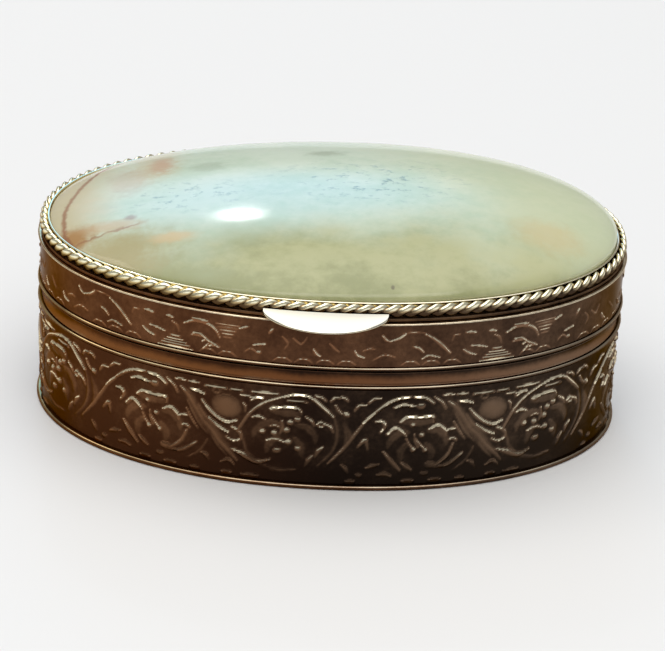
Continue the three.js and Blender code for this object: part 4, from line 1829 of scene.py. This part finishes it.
@dataclass
class ThumbLift:
    """The polished crescent under the border, and the tongue that holds it in the groove."""

    maker: RingMaker
    bench: Bench
    offset: float = -0.8
    end_reach: float = 0.35
    drop: float = 1.25
    root_height: float = 1.0
    tip_height: float = 0.3
    bulge: float = 0.12
    power: float = 0.6
    root_outset: float = 0.1
    tongue_width: float = 11
    tongue_depth: float = 0.36
    tongue_height: float = 0.4
    tongue_gap: float = 0.05
    tongue_round: float = 0.08
    tongue_steps: int = 24
    tongue_polish: float = 0.5
    sections: int = 72
    side_steps: int = 12
    nose_steps: int = 10
    nose_start: float = 0.9
    under_polish: float = 0.55
    lit_side_reach: Point = (-0.4, 0.4)

    def build(self) -> None:
        """Makes the crescent and its tongue as one piece."""
        extent = Extent.of("thumb_lift")
        outline = self.maker.outline
        half = (extent.high[0] - extent.low[0]) / 2
        reach = outline.front(0, self.root_outset) - extent.low[1]
        top = extent.top
        shares = np.sin(np.linspace(-math.pi / 2, math.pi / 2, self.sections))
        x = self.offset + shares * half
        root = outline.front(x, self.root_outset)
        out = self.end_reach + (reach - self.end_reach) * (1 - shares**2) ** self.power
        loop = self._loop()
        depth = np.clip(loop[:, 0], 0, 1)[:, None]
        fall = depth * out[None, :] / reach
        upper = top - self.drop * fall + self.bulge * np.sin(np.pi * depth) * out / reach
        thick = self.root_height + (self.tip_height - self.root_height) * depth
        heights = upper - thick * (1 - loop[:, 1:]) / 2
        y = root[None, :] - out[None, :] * depth
        points = np.stack([np.broadcast_to(x, y.shape), y, heights], axis=-1)
        # A painted highlight on the crescent's upper side and painted shade on its underside.
        polish_and_shading = self.under_polish + (1 - self.under_polish) * smooth_step(loop[:, 1], *self.lit_side_reach)
        ends = points.mean(axis=0)
        crescent = Skin(points.transpose(1, 0, 2), first_tip=ends[0], last_tip=ends[-1])
        crescent.polish_and_shading = np.broadcast_to(polish_and_shading, (self.sections, len(loop)))
        pieces = [crescent.build("crescent"), self._tongue().build("tongue")]
        piece = joined("thumb_crescent", pieces)
        self.bench.place(piece, Finishes.lift, Body.LID, Slot.BRIGHT, "thumb_lift")

    def _loop(self) -> Array:
        """Draws the crescent's section.

        Returns:
            Points of depth, from 0 at the root to 1 at the tip, and side, from 1 above to -1 below.
        """
        along = np.linspace(0, self.nose_start, self.side_steps)
        side = np.ones(self.side_steps)
        turn = np.linspace(math.pi / 2, -math.pi / 2, self.nose_steps + 1)[1:-1]
        nose = np.stack([self.nose_start + (1 - self.nose_start) * np.cos(turn), np.sin(turn)], axis=1)
        upper = np.stack([along, side], axis=1)
        lower = np.stack([along[::-1], -side], axis=1)
        return np.vstack([upper, nose, lower])

    def _tongue(self) -> Skin:
        """Draws the tongue, which follows the wall in the groove.

        Returns:
            The tongue as a closed skin.
        """
        bottom = Extent.of("lid_wall").top + self.tongue_gap
        top = bottom + self.tongue_height
        x = self.offset + np.linspace(-0.5, 0.5, self.tongue_steps) * self.tongue_width
        corners = [(-self.tongue_depth, bottom), (self.end_reach, bottom)]
        corners += [(self.end_reach, top), (-self.tongue_depth, top)]
        section = rounded(corners, self.tongue_round, steps=2)
        outline = self.maker.outline
        rows = [np.column_stack([x, outline.front(x, out), np.full(len(x), level)]) for out, level in section]
        points = np.array(rows).transpose(1, 0, 2)
        ends = points.mean(axis=1)
        return Skin(points, first_tip=ends[0], last_tip=ends[-1], polish_and_shading=self.tongue_polish)


# The hinge


@dataclass
class Hinge:
    """Two leaves of sheet curled round a pin at the back."""

    maker: RingMaker
    bench: Bench
    leaf_standoff: float = 0.2
    leaf_thickness: float = 0.55
    middle_length: float = 6
    running_gap: float = 0.2
    knuckle_sides: int = 56
    sink: float = 2
    soft_edge: float = 0.09
    wall_cut_top: float = 40
    bore_gap: float = 0.06
    bore_past: float = 5
    pin_sides: int = 32
    pin_dome: float = 0.22
    dome_steps: int = 7
    leaf_polish: float = 0.62
    pin_polish: float = 0.6
    pin: Extent = field(init=False)
    pin_radius: float = field(init=False)
    axis: Array = field(init=False)
    half: float = field(init=False)
    knuckle: float = field(init=False)

    def __post_init__(self) -> None:
        """Finds the axis from the pin, and the length and the knuckles from the box's leaf."""
        self.pin = Extent.of("hinge_pin")
        self.pin_radius = float(self.pin.high[2] - self.pin.low[2]) / 2
        self.axis = np.array([0, float(self.pin.middle[1]), float(self.pin.middle[2])])
        leaf = Extent.of("hinge_leaf_body")
        self.half = float(leaf.high[0])
        self.knuckle = float(leaf.high[1]) - float(self.axis[1])

    def build(self) -> None:
        """Makes the leaves and the pin."""
        inner = self.middle_length / 2
        near = inner + self.running_gap
        outer = [(-self.half, -near), (near, self.half)]
        middle = [(-inner, inner)]
        clear_of_middle = [(-near, near)]
        clear_of_outer = [(-self.half - 1, -inner), (inner, self.half + 1)]
        self._leaf("box_hinge_leaf", "hinge_leaf_body", outer, clear_of_middle, Body.BOX)
        self._leaf("lid_hinge_leaf", "hinge_leaf_lid", middle, clear_of_outer, Body.LID)
        self._pin()

    def _bar(self, radius: float, low: float, high: float) -> Piece:
        """Makes a round bar along the hinge's axis.

        Args:
            radius: The bar's radius.
            low: Where it starts along x.
            high: Where it ends along x.

        Returns:
            The bar as an object.
        """
        around = np.arange(self.knuckle_sides) / self.knuckle_sides * FULL_TURN
        ring = np.column_stack([np.zeros_like(around), radius * np.cos(around), radius * np.sin(around)])
        ends = [self.axis + [x, 0, 0] for x in (low, high)]
        rows = np.array([ring + end for end in ends])
        return Skin(rows, first_tip=ends[0], last_tip=ends[1]).build("bar")

    @staticmethod
    def _block(low: Sequence[float], high: Sequence[float]) -> Piece:
        """Makes a box between two corners.

        Args:
            low: The corner with the lowest x, y and z.
            high: The corner with the highest.

        Returns:
            The box as an object.
        """
        made = bmesh.new()
        bmesh.ops.create_cube(made, size=1)
        size = (np.array(high) - np.array(low)) * MM
        middle = (np.array(high) + np.array(low)) / 2 * MM
        placed = Matrix.Translation(middle) @ Matrix.Diagonal((*size, 1))
        bmesh.ops.transform(made, matrix=placed, verts=made.verts)
        mesh = bpy.data.meshes.new("block")
        made.to_mesh(mesh)
        made.free()
        return linked("block", mesh)

    def _leaf(self, name: str, node: str, knuckles: list[Point], gaps: list[Point], body: Body) -> None:
        """Makes one leaf.

        Args:
            name: The piece's name.
            node: The CAD node that it stands for.
            knuckles: The x ranges of its knuckles.
            gaps: The x ranges that the other leaf's knuckles run in.
            body: The body it moves with. The lid's leaf runs up and the box's leaf down.
        """
        extent = Extent.of(node)
        side = 1 if body is Body.LID else -1
        face = Extent.of("body_rim_band").top if side < 0 else Extent.of("lid_wall").bottom
        far = extent.top if side > 0 else extent.bottom
        back = self.maker.outline.half_width
        plate_face = back + self.leaf_standoff + self.leaf_thickness
        low, high = min(face, far), max(face, far)
        leaf = self._block((-self.half, back - self.sink, low), (self.half, plate_face, high))
        for start, end in gaps:
            combine(leaf, self._bar(self.knuckle + self.running_gap, start, end), "DIFFERENCE")
        for start, end in knuckles:
            web = self.axis[2] + side * self.knuckle
            low, high = min(face, web), max(face, web)
            block = self._block((start, back - self.sink, low), (end, self.axis[1], high))
            combine(leaf, block, "UNION")
            combine(leaf, self._bar(self.knuckle, start, end), "UNION")
        section = np.array([(self.leaf_standoff, 0.0), (self.leaf_standoff, self.wall_cut_top)])
        combine(leaf, self.maker.disc(section, 0, self.wall_cut_top).build("wall"), "DIFFERENCE")
        past = self.half + self.bore_past
        combine(leaf, self._bar(self.pin_radius + self.bore_gap, -past, past), "DIFFERENCE")
        soften(leaf, self.soft_edge)
        leaf.name = leaf.data.name = name
        keep_polish_and_shading(leaf.data, np.full(len(leaf.data.vertices), self.leaf_polish))
        self.bench.place(leaf, Finishes.hinge, body, Slot.PLAIN, node)

    def _pin(self) -> None:
        """The pin, with domed ends."""
        radius, dome = self.pin_radius, self.pin_dome
        end = float(self.pin.high[0])
        angles = np.linspace(0, math.pi / 2, self.dome_steps + 1)[1:-1]
        stations = [(-end + dome - dome * math.cos(a), radius * math.sin(a)) for a in angles]
        stations += [(-end + dome, radius), (end - dome, radius)]
        stations += [(end - dome + dome * math.cos(a), radius * math.sin(a)) for a in angles[::-1]]
        around = np.arange(self.pin_sides) / self.pin_sides * FULL_TURN
        circle = np.stack([np.zeros_like(around), np.cos(around), np.sin(around)], axis=1)
        rows = np.array([self.axis + [x, 0, 0] + size * circle for x, size in stations])
        tips = [self.axis + [x, 0, 0] for x in (-end, end)]
        skin = Skin(rows, first_tip=tips[0], last_tip=tips[1], polish_and_shading=self.pin_polish)
        pin = skin.build("hinge_wire_pin")
        self.bench.place(pin, Finishes.steel, Body.BOX, Slot.PIN, "hinge_pin")


def combine(target: Piece, tool: Piece, operation: str) -> None:
    """Joins a tool to an object or cuts it away, and deletes the tool.

    Args:
        target: The object that is changed.
        tool: The object that is joined or cut away.
        operation: UNION or DIFFERENCE.
    """
    step = target.modifiers.new("combine", "BOOLEAN")
    step.operation = operation
    step.object = tool
    step.solver = "EXACT"
    baked(target)
    bpy.data.objects.remove(tool)


def soften(target: Piece, width: float) -> None:
    """Rounds the sharp edges of an object a little.

    Args:
        target: The object.
        width: How wide the rounding is.
    """
    step = target.modifiers.new("soften", "BEVEL")
    step.width = width * MM
    step.segments = 2
    step.limit_method = "ANGLE"
    step.angle_limit = math.radians(SOFTENED_ANGLE)
    step.use_clamp_overlap = True
    baked(target)
    target.data.shade_smooth()
    target.data.set_sharp_from_angle(angle=math.radians(SHARP_ANGLE))


def baked(target: Piece) -> None:
    """Applies the modifiers of an object to its mesh.

    Args:
        target: The object.
    """
    graph = bpy.context.evaluated_depsgraph_get()
    mesh = bpy.data.meshes.new_from_object(target.evaluated_get(graph))
    target.modifiers.clear()
    target.data = mesh


# The lining


@dataclass
class Lining:
    """Velvet on the box's wall and two velvet pads, one on the floor and one in the lid."""

    maker: RingMaker
    bench: Bench
    wall_thickness: float = 0.6
    pad_rings: int = 44
    wall_round: float = 0.25
    pad_inward: float = 0.995
    seat_share: float = 0.99
    edge_rise: float = 0.25
    roll_rise: float = 0.5
    roll_width: float = 0.05
    crown_width: float = 0.9
    pucker: float = 0.07
    puckers: int = 46
    pucker_start: float = 0.01
    pucker_reach: float = 0.05
    fill: float = 0.7

    def build(self) -> None:
        """Makes the three pieces."""
        extent, outer = self.maker.fitted("wall_lining")
        corners = strip_corners(outer - self.wall_thickness, outer, extent)
        piece = self.maker.band(rounded(corners, self.wall_round, steps=4)).build("wall_velvet")
        self.bench.place(piece, Finishes.velvet, Body.BOX, Slot.VELVET, "wall_lining")
        self._pad("floor_pad", "floor_lining", Body.BOX, 1)
        self._pad("lid_pad", "lid_lining", Body.LID, -1)

    def _pad(self, name: str, node: str, body: Body, side: int) -> None:
        """Makes one pad.

        Args:
            name: The pad's name.
            node: The CAD node that it stands for.
            body: The body it moves with.
            side: 1 where the soft face is up, and -1 where it is down.
        """
        extent, edge = self.maker.fitted(node)
        outline = self.maker.outline
        seat, face = (extent.bottom, extent.top) if side > 0 else (extent.top, extent.bottom)
        turns = outline.even_turns(self.maker.columns)
        rim = outline.at(turns, edge)
        depth = 1 - np.cos(np.linspace(0, math.pi / 2, self.pad_rings))
        shares = 1 - depth * self.pad_inward
        # Two waves beat and a third runs across them, so the puckers are uneven.
        gather = np.sin(turns * self.puckers) * np.sin(turns * 7 + 1) + 0.5 * np.sin(turns * 23 + 2)
        rows = [np.column_stack([rim * self.seat_share, np.full(len(rim), seat)])]
        for share in shares:
            from_edge = 1 - share
            rise = self.edge_rise + self.roll_rise * smooth_step(from_edge, 0, self.roll_width)
            rise += (1 - self.edge_rise - self.roll_rise) * smooth_step(from_edge, 0, self.crown_width)
            fade = np.exp(-from_edge / self.pucker_reach) * (1 - np.exp(-from_edge / self.pucker_start))
            height = seat + (face - seat) * rise - side * np.abs(self.pucker * gather * fade)
            rows.append(np.column_stack([rim * share, np.broadcast_to(height, len(rim))]))
        points = np.array(rows)
        tips = [np.array([0, 0, seat]), np.array([0, 0, face])]
        if side < 0:
            points, tips = points[::-1], tips[::-1]
        pad = Skin(points, first_tip=tips[0], last_tip=tips[1]).build(name)
        self.bench.place(pad, Finishes.velvet, body, Slot.VELVET, node)


# Floor, light and camera


@dataclass(frozen=True)
class Lamp:
    """A rectangular lamp that faces the box.

    The azimuth is 0 degrees towards the front and 90 towards +X. A radiance of 1 is a white that just clips.
    """

    name: str
    azimuth: float
    elevation: float
    size: Point
    radiance: float
    colour: Colour
    distance: float = 900

    def hang(self, height: float) -> None:
        """Hangs the lamp.

        Args:
            height: The height over the middle of the floor that it is aimed at.
        """
        turn, rise = math.radians(self.azimuth), math.radians(self.elevation)
        flat = math.cos(rise)
        away = Vector((math.sin(turn) * flat, -math.cos(turn) * flat, math.sin(rise)))
        data = bpy.data.lights.new(self.name, "AREA")
        data.shape = "RECTANGLE"
        data.size, data.size_y = self.size[0] * MM, self.size[1] * MM
        data.energy = self.radiance * math.pi * data.size * data.size_y
        data.color = self.colour
        lamp = linked(self.name, data)
        lamp.location = away * self.distance * MM + Vector((0, 0, height * MM))
        lamp.rotation_mode = "QUATERNION"
        lamp.rotation_quaternion = away.to_track_quat("Z", "Y")


@dataclass
class Studio:
    """A pale floor, soft light from above and behind, and a camera at the photograph's angle."""

    floor_half: float = 3000
    floor_gap: float = 0.02
    lamps: tuple[Lamp, ...] = (
        Lamp("front_panel", 0, 52, (900, 300), 2.0, (1.0, 0.98, 0.95)),
        Lamp("left_panel", -105, 46, (330, 300), 1.9, (1.0, 0.93, 0.84)),
        Lamp("back_lamp", -170.1, 36.3, (31, 54), 34, (1.0, 0.99, 0.97)),
    )
    world_low: float = 0.36
    world_high: float = 2.2
    zenith_reach: Point = (0.66, 1)
    window_azimuth: float = -174
    window_elevation: float = 29.6
    window_reach: Point = (0.25, 0.24)
    window_colour: Colour = (0.24, 0.58, 1.0)
    window_strength: float = 2.4
    window_fade: Point = (0.25, 1.25)
    window_ahead: Point = (0, 0.3)
    yaw: float = -1.023
    pitch: float = 26.389
    roll: float = 3.021
    distance: float = 342.46
    aim_height: float = 14
    shift_right: float = 0.5
    shift_up: float = -3.455
    focal_pixels: float = 2648.7
    frame_pixels: int = 665
    sensor: float = 36
    clip_metres: Point = (0.01, 20)

    def build(self) -> None:
        """Sets up everything that isn't part of the object."""
        self._view()
        self._floor()
        self._world()
        for lamp in self.lamps:
            lamp.hang(self.aim_height)
        self._camera()

    def _view(self) -> None:
        """Keeps colours as they are written."""
        bpy.context.scene.view_settings.view_transform = "Standard"

    def _floor(self) -> None:
        """A large plain floor."""
        half, level = self.floor_half * MM, -self.floor_gap * MM
        points = [(-half, -half, level), (half, -half, level), (half, half, level), (-half, half, level)]
        mesh = bpy.data.meshes.new("floor")
        mesh.from_pydata(points, [], [(0, 1, 2, 3)])
        mesh.materials.append(PaleFloor().material())
        linked("floor", mesh)

    def _world(self) -> None:
        """Soft light from all round, which grows towards the zenith, and a bluish window behind."""
        world = bpy.data.worlds.new("studio")
        world.use_nodes = True
        bpy.context.scene.world = world
        graph = Graph(world.node_tree)
        x, y, height = graph.flow(graph.node("ShaderNodeTexCoord"), "Generated").parts()
        zenith = height.step_between(*self.zenith_reach)
        strength = zenith * (self.world_high - self.world_low) + self.world_low
        turn, rise = math.radians(self.window_azimuth), math.radians(self.window_elevation)
        side = (x * math.cos(turn) + y * math.sin(turn)) / self.window_reach[0]
        up = (height - math.sin(rise)) / self.window_reach[1]
        ahead = (x * math.sin(turn) - y * math.cos(turn)).step_between(*self.window_ahead)
        window = (1 - (side * side + up * up).root().step_between(*self.window_fade)) * ahead
        colour = graph.mix(window, (1, 1, 1), self.window_colour)
        inputs = {"Color": colour, "Strength": strength + window * self.window_strength}
        graph.finish(graph.node("ShaderNodeBackground", inputs=inputs), "ShaderNodeOutputWorld")

    def _camera(self) -> None:
        """Places the camera where the photograph was taken from."""
        yaw, pitch, roll = (math.radians(a) for a in (self.yaw, self.pitch, self.roll))
        flat = math.cos(pitch)
        back = Vector((math.sin(yaw) * flat, -math.cos(yaw) * flat, math.sin(pitch)))
        right = Vector((math.cos(yaw), math.sin(yaw), 0))
        up = back.cross(right)
        rolled_right = right * math.cos(roll) + up * math.sin(roll)
        rolled_up = up * math.cos(roll) - right * math.sin(roll)
        aim = Vector((0, 0, self.aim_height)) + right * self.shift_right + up * self.shift_up
        data = bpy.data.cameras.new("camera")
        data.sensor_fit = "HORIZONTAL"
        data.sensor_width = self.sensor
        data.lens = self.focal_pixels / self.frame_pixels * self.sensor
        data.clip_start, data.clip_end = self.clip_metres
        camera = linked("camera", data)
        turned = Matrix((rolled_right, rolled_up, back)).transposed().to_4x4()
        turned.translation = (aim + back * self.distance) * MM
        camera.matrix_world = turned
        bpy.context.scene.camera = camera


def main() -> None:
    """Builds the scene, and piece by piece."""
    logging.basicConfig(level=logging.INFO, format="%(message)s")
    Studio().build()
    wall = Extent.of("body_wall")
    outline = Outline(float(wall.high[0]) + CARVED_FACE, float(wall.high[1]) + CARVED_FACE)
    maker = RingMaker(outline)
    bench = Bench()
    Foot(maker, bench).build()
    BoxWall(maker, bench).build()
    LidWall(maker, bench).build()
    StoneSetting(maker, bench).build()
    Stone(maker, bench).build()
    ThumbLift(maker, bench).build()
    Hinge(maker, bench).build()
    Lining(maker, bench).build()
    log.info("sizes written")


if __name__ == "__main__":
    main()
